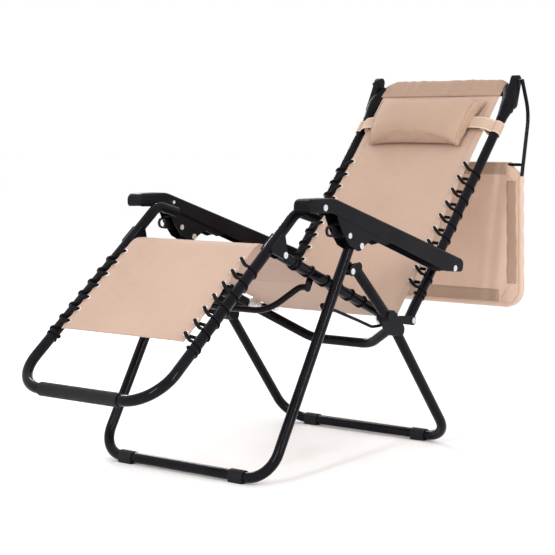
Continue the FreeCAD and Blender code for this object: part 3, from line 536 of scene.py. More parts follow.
def ease(t):
    """0 to 1 with soft ends, and held there beyond them."""
    t = max(0.0, min(1.0, t))
    return t * t * (3 - 2 * t)


# ---------------------------------------------------------------- sling

def corner_of(a, b):
    """Where the planes of two sling panels meet, at x = 0."""
    p, q = spot(a, 0, 0, SLING_LIFT), spot(b, 0, 0, SLING_LIFT)
    u, v = along(a), along(b)
    t = ((q.y - p.y) * v.z - (q.z - p.z) * v.y) / (u.y * v.z - u.z * v.y)
    return p + u * t


def profile_rows(corners, radii, step):
    """(distance, point, normal) along straight runs joined by arcs, in the side view."""
    points = [corners[0]]
    for before, here, after, radius in zip(corners, corners[1:], corners[2:], radii):
        come, leave = (here - before).normalized(), (after - here).normalized()
        trim = radius * math.tan(come.angle(leave) / 2)
        first, last = here - come * trim, here + leave * trim
        bend_steps = 14
        for k in range(bend_steps + 1):
            t = k / bend_steps
            points.append(first.lerp(here, t).lerp(here.lerp(last, t), t))
    points.append(corners[-1])
    dense = [points[0]]
    for p, q in zip(points, points[1:]):
        parts = max(1, math.ceil((q - p).length / step))
        dense += [p.lerp(q, (k + 1) / parts) for k in range(parts)]
    rows, travelled = [], 0.0
    for i, p in enumerate(dense):
        ahead = (dense[min(i + 1, len(dense) - 1)] - dense[max(i - 1, 0)]).normalized()
        if i:
            travelled += (p - dense[i - 1]).length
        rows.append((travelled, p, Vector((0, -ahead.z, ahead.y))))
    return rows


HEM_WIDTH = 0.022
HEM_STEP = 0.0012        # from the hem's thickness to the single cloth's
FOOT_HEM = 0.038         # the hem at the foot end
EDGE_ROUND = 0.0020      # how far in the rounded edge reaches
EDGE_SLACK = 0.0035      # the edge stays inside SLING_HALF between eyelets
SCALLOP = 0.0045         # and an eyelet pulls it out by this
PULL_REACH = 0.013
RIPPLE = 0.0009
PUCKER = 0.0014
# distances from the cloth's edge to its middle
COLUMNS = [0.0, 0.0005, EDGE_ROUND, 0.0045, 0.0080, 0.0200, HEM_WIDTH, HEM_WIDTH + HEM_STEP,
           0.035, 0.055, 0.085, 0.12, 0.16, 0.195, SLING_HALF]
STITCHED = 5             # the column that carries the side hem's stitches
STITCH_PITCH = 0.0055
STITCH_LENGTH, STITCH_WIDTH, STITCH_HEIGHT = 0.0036, 0.0007, 0.0004


def pulled(point):
    """How strongly the nearest eyelet pulls the cloth's edge outwards, from 0 to 1."""
    best = 0.0
    for panel, stations in EYELETS.items():
        for s in stations:
            away = (spot(panel, 0, s, SLING_LIFT) - Vector((0, point.y, point.z))).length
            best = max(best, math.exp(-(away / PULL_REACH) ** 2))
    return best


def sling_piece(name, rows, end_hem):
    """One stretch of the sling as a thin closed cloth with side hems, scallops and stitches.

    end_hem is the width of the hem across its first end, or 0.
    """
    shape = Shape()
    rings, uvs = [], []
    for travelled, p, n in rows:
        pull = pulled(p)
        half = SLING_HALF - EDGE_SLACK + SCALLOP * pull
        sag = sag_of(travelled)
        end = 1 - ease((travelled - end_hem) / HEM_STEP) if end_hem else 0.0
        top, bottom, above, below = [], [], [], []
        for side in (-1, 1):
            for e in (COLUMNS if side < 0 else reversed(COLUMNS[:-1])):
                x = side * max(0.0, half - e * half / SLING_HALF)
                inner = 1 - ease((e - HEM_WIDTH) / HEM_STEP)
                inwards = min(e, EDGE_ROUND) / EDGE_ROUND
                rim = min(1.0, math.sqrt(max(0.0, 1 - (1 - inwards) ** 2)) + 0.05)
                gauge = (CLOTH + HEM * max(inner, end)) / 2 * rim
                ripple = RIPPLE * noise.noise(Vector((x * 14, travelled * 11, 3.1)))
                pucker = PUCKER * (1 - pull) * inner * (1 - e / HEM_WIDTH if e < HEM_WIDTH else 0)
                lift = -sag * (1 - (x / SLING_HALF) ** 2) + ripple - pucker
                base = Vector((x, p.y, p.z)) + n * lift
                top.append(base + n * gauge)
                bottom.append(base - n * gauge)
                above.append((x, travelled))
                below.append((x, travelled + THREAD_SHIFT))
        rings.append(top + bottom[::-1])
        uvs.append(above + below[::-1])
    shape.loft(rings, uvs)
    count = len(rings[0]) // 2
    for column in (STITCHED, count - 1 - STITCHED):
        stitch_line(shape, [(r[column], r[column] - r[-1 - column]) for r in rings])
        stitch_line(shape, [(r[-1 - column], r[-1 - column] - r[column]) for r in rings])
    if end_hem:
        for offset in (0.006, end_hem - 0.004):
            place = min(range(len(rows)), key=lambda i: abs(rows[i][0] - offset))
            ring = rings[place]
            stitch_line(shape, [(ring[j], ring[j] - ring[-1 - j]) for j in range(3, count - 3)])
    return shape.build(name, [sling_cloth, thread])


def stitch_line(shape, line):
    """Short raised stitches along (point, outward) pairs, in the shape's second material."""
    carry = 0.0
    for (p, up), (q, _) in zip(line, line[1:]):
        run = (q - p).length
        if run < 1e-6:
            continue
        ahead, up = (q - p).normalized(), up.normalized()
        across = ahead.cross(up).normalized() * STITCH_WIDTH
        place = carry
        while place < run:
            middle = p + ahead * place
            half = ahead * STITCH_LENGTH / 2
            shape.add([middle - half, middle + half, middle - across, middle + across,
                       middle + up * STITCH_HEIGHT, middle - up * STITCH_HEIGHT],
                      [(0, 2, 4), (2, 1, 4), (1, 3, 4), (3, 0, 4),
                       (2, 0, 5), (1, 2, 5), (3, 1, 5), (0, 3, 5)], mark=1)
            place += STITCH_PITCH
        carry = place - run


knee_corner, hip_corner = corner_of("leg", "seat"), corner_of("seat", "back")
KNEE_ROUND, HIP_ROUND = 0.060, 0.040
ROW_STEP = 0.006
route = profile_rows([spot("leg", 0, LEG_END, SLING_LIFT), knee_corner, hip_corner,
                      spot("back", 0, SEAM_S + 0.006, SLING_LIFT)],
                     [KNEE_ROUND, HIP_ROUND], ROW_STEP)


def nearest_row(point):
    """Number of the route's row closest to the point."""
    return min(range(len(route)), key=lambda i: (route[i][1] - point).length)


knee_row, hip_row = nearest_row(knee_corner), nearest_row(hip_corner)
middle_row = (knee_row + hip_row) // 2
knee_u, hip_u, top_u = route[knee_row][0], route[hip_row][0], route[-1][0]


def sag_of(u):
    """The sling hangs a little between its side tubes, least at the bends."""
    if u < knee_u:
        return SLING_SAG["leg"] * math.sin(math.pi * min(1.0, max(0.0, u / knee_u * 0.9 + 0.1)))
    if u < hip_u:
        return SLING_SAG["seat"] * math.sin(math.pi * (u - knee_u) / (hip_u - knee_u))
    return SLING_SAG["back"] * math.sin(math.pi * (u - hip_u) / (top_u - hip_u))


# piece, first and last row, CAD nodes it stands for, what it is laced to
SLINGS = (
    ("sling_leg", 0, knee_row, ("leg_sling",), "footrest_frame"),
    ("sling_seat_front", knee_row, middle_row, ("knee_sling",), "seat_frame"),
    ("sling_seat_rear", middle_row, hip_row, ("seat_sling",), "seat_frame"),
    ("sling_back", hip_row, len(route) - 1, ("back_sling", "hip_sling"), "backrest_frame"),
)
sling_parts = {}
for name, first, last, stands_for, laced_to in SLINGS:
    rows = route[first:last + 1]
    piece = sling_piece(name, rows, FOOT_HEM if name == "sling_leg" else 0.0)
    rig.slot(piece, "sling_fabric")
    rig.replaces(piece, *stands_for)
    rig.sheet(piece, flat=(2 * SLING_HALF, rows[-1][0] - rows[0][0]), held="stretched",
             rests_on=[laced_to])
    sling_parts[name] = piece
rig.blend(sling_parts["sling_leg"], "knee_pins", "footrest", start=knee_corner,
         end=spot("leg", 0, 0.535, SLING_LIFT))
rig.blend(sling_parts["sling_seat_front"], "seat", "knee_pins",
         start=spot("seat", 0, 0.090, SLING_LIFT), end=knee_corner)
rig.blend(sling_parts["sling_seat_rear"], "back_pins", "seat", start=hip_corner,
         end=spot("seat", 0, 0.520, SLING_LIFT))
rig.blend(sling_parts["sling_back"], "backrest", "back_pins",
         start=spot("back", 0, 0.110, SLING_LIFT), end=hip_corner)


# top sleeve, sewn on at SEAM_S and wrapped round the top bar
SLEEVE_HALF = 0.236
SLEEVE_R = TUBE_R + 0.0022
SLEEVE_TURN = 200        # degrees it goes round the bar
SLEEVE_LENGTH = 0.178    # cut length, from seam to seam
SLEEVE_FOLD = 0.0030     # depth of its folds
SLEEVE_SLACK = 0.0009    # how far a fold may dip


def bar_s(x):
    """s of the top bar's axis at x, its corners bent down."""
    into = max(0.0, abs(x) - (TUBE_X - BACK_BEND))
    return TOP_BAR_S - BACK_BEND + math.sqrt(max(0.0, BACK_BEND ** 2 - into ** 2))


def sleeve_line(s_bar):
    """The sleeve's inner side as (s, lift): up the front, round the bar, down behind."""
    low_s, low_lift = SEAM_S - 0.004, SLING_LIFT + 0.0022
    round_steps, behind_steps = 12, 8
    line = []
    for k in range(round_steps + 1):
        t = k / round_steps
        line.append((low_s + (s_bar - low_s) * t,
                     low_lift + (SLEEVE_R + 0.0008 - low_lift) * ease(t)))
    for k in range(1, round_steps + 1):
        a = math.radians(90 - SLEEVE_TURN * k / round_steps)
        line.append((s_bar + SLEEVE_R * math.cos(a), SLEEVE_R * math.sin(a)))
    last_s, last_lift = line[-1]
    for k in range(1, behind_steps + 1):
        t = k / behind_steps
        line.append((last_s + (SEAM_S - last_s) * t,
                     last_lift + (SLING_LIFT - 0.004 - last_lift) * t))
    return line


def sleeve():
    """The top sleeve as a thin closed cloth with gathered folds and two stitched lines."""
    shape = Shape()
    rings, uvs = [], []
    across = 96
    for i in range(across + 1):
        x = SLEEVE_HALF * (2 * i / across - 1)
        line = sleeve_line(bar_s(x))
        outer, inner, above, below = [], [], [], []
        run = 0.0
        for k, (s, lift) in enumerate(line):
            a, b = line[max(k - 1, 0)], line[min(k + 1, len(line) - 1)]
            ds, dl = b[0] - a[0], b[1] - a[1]
            size = math.hypot(ds, dl)
            ns, nl = -dl / size, ds / size
            run += math.hypot(s - line[k - 1][0], lift - line[k - 1][1]) if k else 0
            fold = noise.noise(Vector((x * 42, 0.3, 1.7)))
            fold += 0.7 * noise.noise(Vector((x * 95, s * 9, 5.2)))
            depth = SLEEVE_FOLD * fold * math.sin(math.pi * min(1.0, k / 20)) ** 0.7
            depth = max(depth, -SLEEVE_SLACK)
            outer.append(spot("back", x, s + ns * (CLOTH + depth), lift + nl * (CLOTH + depth)))
            inner.append(spot("back", x, s + ns * depth, lift + nl * depth))
            above.append((x, 2.0 + run))
            below.append((x + THREAD_SHIFT, 2.0 + run))
        rings.append(outer + inner[::-1])
        uvs.append(above + below[::-1])
    shape.loft(rings, uvs)
    for k in (1, 3):
        stitch_line(shape, [(r[k], upward("back")) for r in rings])
    # its cloth is darker than the sling's, partly as painted shade of the folds and slope
    return shape.build("sling_top_sleeve", [sleeve_cloth_painted_shade, thread])


top_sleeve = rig.ride(sleeve(), "backrest")
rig.slot(top_sleeve, "sling_fabric")
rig.sheet(top_sleeve, flat=(2 * SLEEVE_HALF, SLEEVE_LENGTH), held="stretched",
         rests_on=["backrest_frame"])


# ---------------------------------------------------------------- lacing

# an eyelet's section: (radius, height), a rolled rim with a short neck
GROMMET = [(0.0043, -0.0012), (0.0043, 0.0012), (0.0050, 0.0021), (0.0062, 0.0024),
           (0.0078, 0.0020), (0.0086, 0.0010), (0.0086, -0.0010), (0.0078, -0.0020),
           (0.0062, -0.0024), (0.0050, -0.0021)]
LAST_GAP = 0.045         # room for the last round and its end


def grommets(panel, body):
    """The metal eyelets down both edges of one panel."""
    shape = Shape()
    for side in (-1, 1):
        for s in EYELETS[panel]:
            shape.turned_ring(spot(panel, side * EYELET_X, s, SLING_LIFT), upward(panel), GROMMET)
    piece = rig.ride(shape.build("grommets_" + panel, [eyelet_metal]), body)
    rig.slot(piece, "eyelet_metal")
    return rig.replaces(piece, panel + "_eyelets")


def lacing(panel, body):
    """Elastic cord spiralling through the eyelets and round the side tubes."""
    shape = Shape()
    reach = TUBE_R + CORD_TIGHT + 0.0002
    for side in (-1, 1):
        points, gauge = [], []
        stations = EYELETS[panel][::-1]
        for i, s in enumerate(stations):
            at_end = i + 1 == len(stations)
            gap = LAST_GAP if at_end else s - stations[i + 1]
            # up through the eyelet, over to the tube, once round it and on to the next
            turn = [(EYELET_X - 0.001, s + 0.002, SLING_LIFT - 0.009),
                    (EYELET_X, s, SLING_LIFT),
                    (EYELET_X + 0.003, s - 0.003, SLING_LIFT + 0.0062),
                    (EYELET_X + 0.014, s - gap * 0.26, SLING_LIFT + 0.0060),
                    (TUBE_X - 0.0155, s - gap * 0.46, 0.0165),
                    (TUBE_X + reach * 0.42, s - gap * 0.58, reach * 0.91),
                    (TUBE_X + reach, s - gap * 0.66, 0.0),
                    (TUBE_X + reach * 0.2, s - gap * 0.74, -reach * 0.98),
                    (TUBE_X - reach * 0.86, s - gap * 0.82, -reach * 0.50)]
            if at_end:
                turn += [(TUBE_X - reach * 0.80, s - gap * 0.90, reach * 0.60),
                         (TUBE_X, s - gap * 0.96, reach),
                         (TUBE_X + reach, s - gap * 1.02, 0.0),
                         (TUBE_X, s - gap * 1.08, -reach),
                         (TUBE_X - reach, s - gap * 1.10, 0.0)]
            points += [spot(panel, side * x, at, lift) for x, at, lift in turn]
            gauge += [CORD_R if x < TUBE_X - TUBE_R else CORD_TIGHT for x, _, _ in turn]
        path = smooth_path(points, 4)
        radii = []
        for k in range(len(path)):
            where = (len(gauge) - 1) * k / (len(path) - 1)
            low = min(int(where), len(gauge) - 2)
            radii.append(gauge[low] + (gauge[low + 1] - gauge[low]) * (where - low))
        shape.sweep(path, radii, sides=10)
    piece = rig.ride(shape.build("laced_cord_" + panel, [cord_cloth]), body)
    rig.slot(piece, "lacing_cord")
    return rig.replaces(piece, panel + "_lacing")


for panel, body in (("back", "backrest"), ("seat", "seat"), ("leg", "footrest")):
    grommets(panel, body)
    lacing(panel, body)


# ---------------------------------------------------------------- pillow

PILLOW_MID_S = sum(PILLOW_S) / 2
PILLOW_LONG = (PILLOW_S[1] - PILLOW_S[0]) / 2
PIPING_R = 0.0016
GATHERED_FROM = 0.120    # |x| where the gathers at the ends begin
GATHER = 0.0016          # their height
SEAM_DEPTH, SEAM_REACH = 0.0028, 0.0035


def pillow_half(q):
    """Half width across at q from -1, the low edge, to 1, the top."""
    return PILLOW_HALF + PILLOW_FLARE * q


def seam_x(q):
    """Where the piped seam crosses the pillow's end at q."""
    return 0.176 + 0.008 * q


def pillow_point(p, q, front):
    """A point of the stuffed form, p across and q along, both from -1 to 1."""
    corner = (abs(p) ** 3) * (abs(q) ** 3)
    x = p * pillow_half(q) * (1 - 0.035 * (1 - abs(q) ** 2) * abs(p) ** 4 * 0.5)
    s = PILLOW_MID_S + q * PILLOW_LONG * (0.93 + 0.07 * corner - 0.02 * (1 - p * p))
    swell = max(0.0, 1 - abs(p) ** 5) ** 0.55 * max(0.0, 1 - abs(q) ** 2.6) ** 0.5
    low, high = PILLOW_LIFT
    seam = low + PILLOW_SEAM
    if front:
        lift = seam + (high - seam - 0.004) * swell
    else:
        lift = seam - (seam - low) * min(1.0, swell * 1.6)
    return spot("back", x, s, lift)


def pillow_form(name):
    """The unfilled case, its points closer together towards the edges."""
    shape = Shape()
    grid = {}
    across, long = 56, 28
    crowding = 1.35
    for front in (True, False):
        for i in range(across + 1):
            for j in range(long + 1):
                p, q = 2 * i / across - 1, 2 * j / long - 1
                p = math.copysign(1 - (1 - abs(p)) ** crowding, p)
                q = math.copysign(1 - (1 - abs(q)) ** crowding, q)
                edge = i in (0, across) or j in (0, long)
                if front or not edge:
                    grid[front, i, j] = len(shape.verts)
                    shape.verts.append(tuple(pillow_point(p, q, front)))
                    shape.uvs.append((p * 0.2, q * 0.1))
                else:
                    grid[front, i, j] = grid[True, i, j]
        for i in range(across):
            for j in range(long):
                quad = [grid[front, i, j], grid[front, i + 1, j], grid[front, i + 1, j + 1],
                        grid[front, i, j + 1]]
                shape.faces.append(tuple(quad if front else quad[::-1]))
                shape.marks.append(0)
    return shape.build(name, [pillow_cloth])


def inflate(obj, voxel, pressure, frames, cap):
    """Cloth under inner pressure, started from obj; no point moves more than cap."""
    context = bpy.context
    remesh = obj.modifiers.new("Even", "REMESH")
    remesh.mode, remesh.voxel_size = "VOXEL", voxel
    context.view_layer.objects.active = obj
    obj.select_set(True)
    bpy.ops.object.modifier_apply(modifier=remesh.name)
    rest = [v.co.copy() for v in obj.data.vertices]
    cloth = obj.modifiers.new("Fill", "CLOTH")
    cloth.settings.use_pressure = True
    cloth.settings.uniform_pressure_force = pressure
    cloth.settings.effector_weights.gravity = 0
    cloth.settings.quality = 6
    cloth.settings.tension_stiffness = cloth.settings.compression_stiffness = 12
    cloth.settings.shear_stiffness = 6
    cloth.settings.bending_stiffness = 0.4
    cloth.point_cache.frame_start, cloth.point_cache.frame_end = 1, frames
    for number in range(1, frames + 1):
        context.scene.frame_set(number)
    bpy.ops.object.modifier_apply(modifier=cloth.name)
    context.scene.frame_set(1)
    for v, start in zip(obj.data.vertices, rest):
        moved = v.co - start
        if moved.length > cap:
            moved *= cap / moved.length
        v.co = start + moved
    obj.select_set(False)


def back_coords(p):
    """(x, s, lift) of a model point in the back's frame."""
    q = Vector(p) - Vector((0, *BACK_HINGE))
    return Vector((p[0], q.dot(along("back")), q.dot(upward("back"))))


def crease_pillow(obj):
    """Soft gathers at the ends, seams and UVs in metres, after the simulation."""
    for v in obj.data.vertices:
        x, s, lift = back_coords(v.co)
        end = ease((abs(x) - GATHERED_FROM) / 0.075)
        q = (s - PILLOW_MID_S) / PILLOW_LONG
        if lift > PILLOW_LIFT[0] + PILLOW_SEAM / 2:
            gather = math.sin(q * 11 + 5 * noise.noise(Vector((x * 16, s * 20, 0.4)))) * end
            soft = noise.noise(Vector((x * 9, s * 24, 2.2)))
            seam = math.exp(-((abs(x) - seam_x(q)) / SEAM_REACH) ** 2)
            v.co += upward("back") * (GATHER * gather + GATHER * soft - SEAM_DEPTH * seam)
            v.co.x -= math.copysign(0.0018 * gather, x)
        low = PILLOW_LIFT[0] - back_coords(v.co).z
        if low > 0:
            v.co += upward("back") * low
    layer = obj.data.uv_layers[0] if obj.data.uv_layers else obj.data.uv_layers.new(name="UVMap")
    for polygon in obj.data.polygons:
        polygon.use_smooth = True
        for corner in polygon.loop_indices:
            x, s, lift = back_coords(obj.data.vertices[obj.data.loops[corner].vertex_index].co)
            layer.data[corner].uv = (x, s)


pillow = pillow_form("neck_pillow")
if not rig.quick():
    inflate(pillow, voxel=0.005, pressure=4.0, frames=20, cap=0.009)
subdivide = pillow.modifiers.new("Fine", "SUBSURF")
subdivide.levels = subdivide.render_levels = 1
bpy.context.view_layer.objects.active = pillow
bpy.ops.object.modifier_apply(modifier=subdivide.name)
crease_pillow(pillow)
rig.ride(pillow, "pillow")
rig.slot(pillow, "pillow_fabric")
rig.replaces(pillow, "head_pillow")
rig.padded(pillow, fill=0.75)


def surface_above(tree, x, s):
    """The pillow's front skin at (x, s), found by a ray towards the back."""
    hit = tree.ray_cast(spot("back", x, s, 0.2), -upward("back"))
    return hit[0] if hit[0] else spot("back", x, s, PILLOW_LIFT[0] + PILLOW_SEAM)


def pillow_trim():
    """Piped seams across both ends of the pillow."""
    shape = Shape()
    tree = BVHTree.FromObject(pillow, bpy.context.evaluated_depsgraph_get())
    for side in (-1, 1):
        line = []
        for k in range(25):
            q = 1.8 * k / 24 - 0.9
            x = side * (seam_x(q) + 0.004 * (1 - q * q))
            skin = surface_above(tree, x, PILLOW_MID_S + q * PILLOW_LONG)
            line.append(skin + upward("back") * 0.0003)
        shape.sweep(smooth_path(line, 2), PIPING_R, sides=8)
    piece = shape.build("pillow_seams", [pillow_cloth])
    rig.ride(piece, "pillow")
    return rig.slot(piece, "pillow_fabric")


pillow_trim()


STRAP_GAUGE = 0.0017
# half the strap's section: (across, thickness), a bound edge on each side of the flat middle
STRAP_EDGE = [(-STRAP_WIDTH / 2 + inwards, thick)
              for inwards, thick in ((0.0, 0.2), (0.0008, 1.25), (0.0042, 1.25), (0.0048, 0.9))]
STRAP_SECTION = STRAP_EDGE + [(-w, thick) for w, thick in reversed(STRAP_EDGE)]
STRAP_FLATS = (3, 11)    # the faces of a ring that aren't binding


def straps():
    """Flat straps from the pillow's ends over the back tubes and behind them."""
    shape = Shape()
    wrap = TUBE_R + 0.0024
    for side in (-1, 1):
        line = [(0.186, 0.036), (0.205, 0.0355), (0.225, 0.0335), (0.243, 0.0275)]
        for k in range(9):
            a = math.radians(112 - 200 * k / 8)
            line.append((TUBE_X + wrap * math.cos(a), wrap * math.sin(a)))
        line += [(0.250, -0.0135), (0.240, 0.004), (0.236, 0.020), (0.228, 0.0285)]
        path = smooth_path([Vector((x, 0, lift)) for x, lift in line], 4)
        rings, uvs, run = [], [], 0.0
        for k, p in enumerate(path):
            ahead = (path[min(k + 1, len(path) - 1)] - path[max(k - 1, 0)]).normalized()
            out = Vector((-ahead.z, 0, ahead.x))
            run += (p - path[k - 1]).length if k else 0
            wobble = 0.0008 * noise.noise(Vector((run * 30, side * 2.0, 0.0)))
            ring = []
            for face, section in ((1, STRAP_SECTION), (-1, STRAP_SECTION[::-1])):
                for w, thick in section:
                    skin = p + out * (face * STRAP_GAUGE / 2 * thick + wobble)
                    ring.append(spot("back", side * skin.x, STRAP_S + w, skin.z))
            rings.append(ring)
            uvs.append([(run, w) for w, _ in STRAP_SECTION + STRAP_SECTION[::-1]])
        first = len(shape.faces)
        shape.loft(rings, uvs)
        for i in range(first, len(shape.faces) - 2):
            if (i - first) % len(rings[0]) not in STRAP_FLATS:
                shape.marks[i] = 1
    piece = sharpen(shape.build("pillow_straps_sewn", [strap_cloth, binding_cloth]), 50)
    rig.ride(piece, "pillow")
    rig.slot(piece, "strap_elastic")
    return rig.replaces(piece, "pillow_straps")


straps()


# ---------------------------------------------------------------- canopy

# side tubes of the canopy in the side view, top to bottom
CANOPY_LINE = [(0.8150, 0.842), (0.8077, 0.770), (0.8197, 0.385)]


def canopy_y(z):
    """y of the canopy tube's axis at height z."""
    for (y0, z0), (y1, z1) in zip(CANOPY_LINE, CANOPY_LINE[1:]):
        if z >= z1 or (y1, z1) == CANOPY_LINE[-1]:
            return y0 + (y1 - y0) * (z - z0) / (z1 - z0)


COVER_TOP, COVER_LOW = 0.845, 0.377
COVER_HALF = CANOPY_HALF + 0.0085
COVER_ROUND = 0.066      # low corners
COVER_CUT = (0.050, 0.055)       # top corners, across and down
COVER_ROLL = 0.018       # width of the edge that bends over a tube
FRONT_GAP = CANOPY_TUBE_R + 0.0016
DOUBLE = 0.0011          # a second layer's thickness
EDGE_BAND = 0.036        # width of the double layer beside the sleeves
EDGE_INSET = 0.021


def cover_half(z):
    """Half width of the cover at height z: cut corners at the top, round ones below."""
    cut, height = COVER_CUT
    if z > COVER_TOP - height:
        return COVER_HALF - cut * ease((z - (COVER_TOP - height)) / height)
    low = z - COVER_LOW
    if low < COVER_ROUND:
        reach = max(0.0, COVER_ROUND ** 2 - (COVER_ROUND - low) ** 2)
        return COVER_HALF - COVER_ROUND + math.sqrt(reach)
    return COVER_HALF - 0.0012 * (1 - math.cos(z * 95))


def cover_point(x, z, layer):
    """A point of the cover's front cloth, bulging over the tubes at its edges."""
    half = cover_half(z)
    y = canopy_y(z)
    near_side = max(0.0, 1 - (half - abs(x)) / COVER_ROLL)
    near_low = max(0.0, 1 - (z - COVER_LOW) / COVER_ROLL)
    rim = min(1.0, max(near_side, near_low))
    slack = 0.0035 * noise.noise(Vector((x * 7, z * 6, 0.7)))
    slack += 0.002 * noise.noise(Vector((x * 30, z * 5, 4.0)))
    belly = 0.003 * math.cos(x / COVER_HALF * math.pi / 2)
    gathers = 0.0012 * math.sin(x * 120) * ease((COVER_LOW + 0.10 - z) / 0.06) * (1 - rim)
    bulge = FRONT_GAP * (1 - (1 - math.cos(rim * math.pi / 2)) * 1.6)
    return Vector((x, y - bulge - layer + (slack + belly + gathers) * (1 - rim), z))


def spread(low, high, count):
    """Evenly spaced values from low to high."""
    return [low + (high - low) * k / count for k in range(count + 1)]


# mark 1 is the darker double cloth, its tone painted shade; mark 0 is the cover's own cloth
def double_layer(shape, edge, inner, mark=1):
    """A patch between two lines of (x, z), laid on the front cloth."""
    rings, uvs = [], []
    for p, q in zip(edge, inner):
        line = [(p[0] + (q[0] - p[0]) * t, p[1] + (q[1] - p[1]) * t)
                for t in (0, .02, .25, .5, .75, .98, 1)]
        heights = [0.3] + [1.0] * (len(line) - 2) + [0.3]
        top = [cover_point(x, z, DOUBLE * height) for (x, z), height in zip(line, heights)]
        under = [cover_point(x, z, 0.0001) for x, z in line]
        rings.append(top + under[::-1])
        uvs.append([(v.x, v.z) for v in rings[-1]])
    shape.loft(rings, uvs, mark)


def front_cloth(shape):
    """The canopy's single cloth, its points closer together towards the side tubes."""
    across, down = 72, 72
    crowding = 1.5
    low = COVER_LOW + 0.0004
    rings, uvs = [], []
    for j in range(down + 1):
        z = low + (COVER_TOP - COVER_LOW - 0.0004) * (j / down)
        line = []
        for i in range(across + 1):
            t = 2 * i / across - 1
            p = math.copysign(1 - (1 - abs(t)) ** crowding, t)
            line.append(cover_point(p * cover_half(z), z, 0.0))
        behind = [Vector((p.x, p.y + CLOTH, p.z)) for p in line]
        rings.append(line + behind[::-1])
        uvs.append([(p.x, p.z) for p in line]
                   + [(p.x + THREAD_SHIFT, p.z) for p in behind[::-1]])
    shape.loft(rings, uvs)


def edge_layers(shape):
    """Double cloth beside the sleeves and along the top, in the darker cloth whose tone is painted shade."""
    count = 40
    for side in (-1, 1):
        heights = spread(0.455, 0.785, count)
        double_layer(shape, [(side * (cover_half(z) - EDGE_INSET), z) for z in heights],
                     [(side * (cover_half(z) - EDGE_INSET - EDGE_BAND), z) for z in heights])
    xs = spread(-0.215, 0.215, count)
    double_layer(shape, [(x, COVER_LOW + 0.016) for x in xs],
                 [(x, COVER_LOW + 0.016 + 0.040) for x in xs])
    xs = spread(-0.235, 0.235, count)
    double_layer(shape, [(x, COVER_TOP - 0.003) for x in xs],
                 [(x, COVER_TOP - 0.040) for x in xs])


def corner_gussets(shape):
    """Diagonal patches at the four corners, in the cover's own cloth."""
    low, top = spread(0, 1, 12), spread(0, 1, 8)
    for side in (-1, 1):
        double_layer(shape,
                     [(side * (0.225 + 0.064 * t), COVER_LOW + 0.014 + 0.016 * t * t) for t in low],
                     [(side * (0.222 + 0.060 * t), COVER_LOW + 0.030 + 0.072 * t) for t in low],
                     mark=0)
        double_layer(shape,
                     [(side * (0.240 + 0.010 * t), COVER_TOP - 0.004 - 0.012 * t) for t in top],
                     [(side * (0.236 + 0.045 * t), COVER_TOP - 0.038 - 0.030 * t) for t in top],
                     mark=0)


def tube_sleeve(shape):
    """The cloth sleeve round the side tubes and the low one, in one run."""
    reach = CANOPY_TUBE_R + 0.0022
    top_z, bend_z = 0.800, 0.445
    left = [Vector((-CANOPY_HALF, canopy_y(z), z)) for z in spread(top_z, bend_z, 24)]
    for k in range(1, 11):
        a = math.radians(90 * k / 10)
        z = bend_z - CANOPY_BEND * math.sin(a)
        left.append(Vector((-CANOPY_HALF + CANOPY_BEND * (1 - math.cos(a)), canopy_y(z), z)))
    path = left + [Vector((-p.x, p.y, p.z)) for p in reversed(left)]
    dense = []
    for p, q in zip(path, path[1:]):
        parts = max(1, math.ceil((q - p).length / 0.012))
        dense += [p.lerp(q, k / parts) for k in range(parts)]
    dense.append(path[-1])
    radii = [reach + 0.0012 * abs(noise.noise(Vector((p.x * 45, p.z * 45, 6.0)))) for p in dense]
    radii[0] = radii[-1] = reach - 0.0008
    shape.sweep(dense, radii, sides=16)


def cover():
    """One sheet with double edges, gussets and a sleeve round the tubes."""
    shape = Shape()
    front_cloth(shape)
    edge_layers(shape)
    corner_gussets(shape)
    tube_sleeve(shape)
    # the second material darkens the doubled edge bands as painted shade
    piece = shape.build("canopy_sheet", [canopy_cloth, double_cloth_painted_shade])
    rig.ride(piece, "canopy")
    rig.slot(piece, "sling_fabric")
    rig.replaces(piece, "canopy_cover")
    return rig.sheet(piece, flat=(2 * COVER_HALF + 0.06, COVER_TOP - COVER_LOW + 0.05),
                    held="stretched", rests_on=["canopy_frame"])


cover()


# ---------------------------------------------------------------- canopy pivot covers

# the skin over the tube: (x, s, radius)
POD = [(TUBE_X, 0.768, 0.0158), (TUBE_X, 0.786, 0.0172), (TUBE_X, 0.806, 0.0205),
       (TUBE_X, 0.826, 0.0238), (0.2640, 0.848, 0.0252), (0.2560, 0.870, 0.0250),
       (0.2450, 0.886, 0.0235), (0.2385, 0.8925, 0.0205)]
# the pivot block's round ends: s, lift, radius, first and last angle; and its tilt
BLOCK_ENDS = ((0.842, -0.002, 0.020, 90, 270), (0.916, 0.024, 0.0145, -90, 90))
BLOCK_TILT = 20
BLOCK_MIDDLE = (0.879, 0.011)
BLOCK_LAYERS = ((0.2600, 1.0), (0.2826, 1.0), (0.2842, 0.97), (0.2850, 0.90))  # x and size


def pivot_covers():
    """Moulded teardrops over the hoop's top corners, each with the canopy's pivot block."""
    shape = Shape()
    outline = []
    for s, lift, r, start, end in BLOCK_ENDS:
        for k in range(13):
            a = math.radians(start + (end - start) * k / 12 + BLOCK_TILT)
            outline.append((s + r * math.cos(a), lift + r * math.sin(a)))
    mid_s, mid_lift = BLOCK_MIDDLE
    for side in (-1, 1):
        stations = [(spot("back", side * x, s, 0), r) for x, s, r in POD]
        path = smooth_path([place for place, _ in stations], 4)
        radii = [min(stations, key=lambda station: (station[0] - p).length)[1] for p in path]
        shape.sweep(path, averaged(radii), sides=28)
        shape.loft([[spot("back", side * x, mid_s + (s - mid_s) * size,
                          mid_lift + (lift - mid_lift) * size) for s, lift in outline]
                    for x, size in BLOCK_LAYERS])
    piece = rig.ride(shape.build("pivot_covers", [plastic]), "backrest")
    sharpen(piece)
    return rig.slot(piece, "black_plastic")


pivot_covers()


# ---------------------------------------------------------------- floor, light and camera

FLOOR_REACH = 40.0
LIGHT_AIM = (0, 0, 0.5)
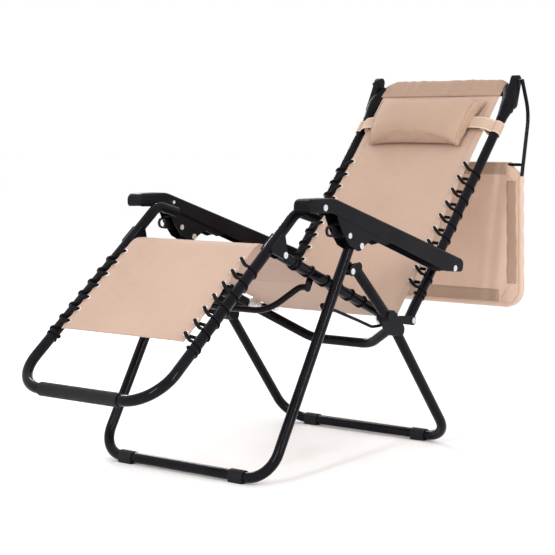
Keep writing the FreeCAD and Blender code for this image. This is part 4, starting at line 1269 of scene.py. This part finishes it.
# name, place, (width, height) and watts
LIGHTS = (
    ("key", (1.2, -4.4, 2.6), (0.30, 1.6), 75),
    ("strip", (4.2, -0.9, 2.0), (0.12, 2.4), 60),
    ("rim", (-2.8, 1.6, 2.4), (0.25, 2.2), 40),
)
CAMERA_PLACE = (3.2045, -3.7943, 0.9474)
CAMERA_AIM = (0, -0.0423, 0.516)


def facing(place, aim):
    """The turn that points a light or a camera from place at aim."""
    return (Vector(aim) - Vector(place)).to_track_quat("-Z", "Y").to_euler()


def area_light(name, place, size, power):
    data = bpy.data.lights.new(name, "AREA")
    data.shape = "RECTANGLE"
    data.size, data.size_y = size
    data.energy = power
    lamp = bpy.data.objects.new(name, data)
    lamp.location = place
    lamp.rotation_euler = facing(place, LIGHT_AIM)
    bpy.context.scene.collection.objects.link(lamp)


def backdrop():
    """A pale floor out to the horizon."""
    shape = Shape()
    corners = [(-1, -1), (1, -1), (1, 1), (-1, 1)]
    shape.add([(x * FLOOR_REACH, y * FLOOR_REACH, 0) for x, y in corners], [(0, 1, 2, 3)])
    mat, add, bsdf, tree = new_material("pale_floor", (0.95, 0.95, 0.955), 0.7, specular=0.1)
    bsdf.inputs["Emission Color"].default_value = (1.0, 1.0, 1.0, 1)
    bsdf.inputs["Emission Strength"].default_value = 0.05
    coords = add("ShaderNodeTexCoord").outputs["Object"]
    tone = add("ShaderNodeTexNoise", [("Vector", coords)], Scale=0.6, Detail=2.0)
    stops = [(0.3, (0.94, 0.94, 0.945)), (0.7, (0.96, 0.96, 0.962))]
    tree.links.new(ramp(add, tone.outputs["Fac"], stops), bsdf.inputs["Base Color"])
    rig.stage(shape.build("studio_floor", [mat]))


backdrop()
world = bpy.data.worlds.new("studio")
world.use_nodes = True
background = world.node_tree.nodes["Background"]
background.inputs["Color"].default_value = (1.0, 1.0, 1.0, 1)
background.inputs["Strength"].default_value = 1.0
bpy.context.scene.world = world
bpy.context.scene.view_settings.view_transform = "Standard"
for light in LIGHTS:
    area_light(*light)

camera = bpy.data.objects.new("camera", bpy.data.cameras.new("camera"))
bpy.context.scene.collection.objects.link(camera)
bpy.context.scene.camera = camera
camera.data.sensor_width = 36.0
camera.data.lens = 109.4
camera.location = CAMERA_PLACE
camera.rotation_euler = facing(CAMERA_PLACE, CAMERA_AIM)
camera.data.clip_end = 60

visual_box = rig.bounds()
with open("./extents.json", "w") as out:
    json.dump({"cad": [list(c) for c in cad_box], "visual": [list(c) for c in visual_box]}, out)
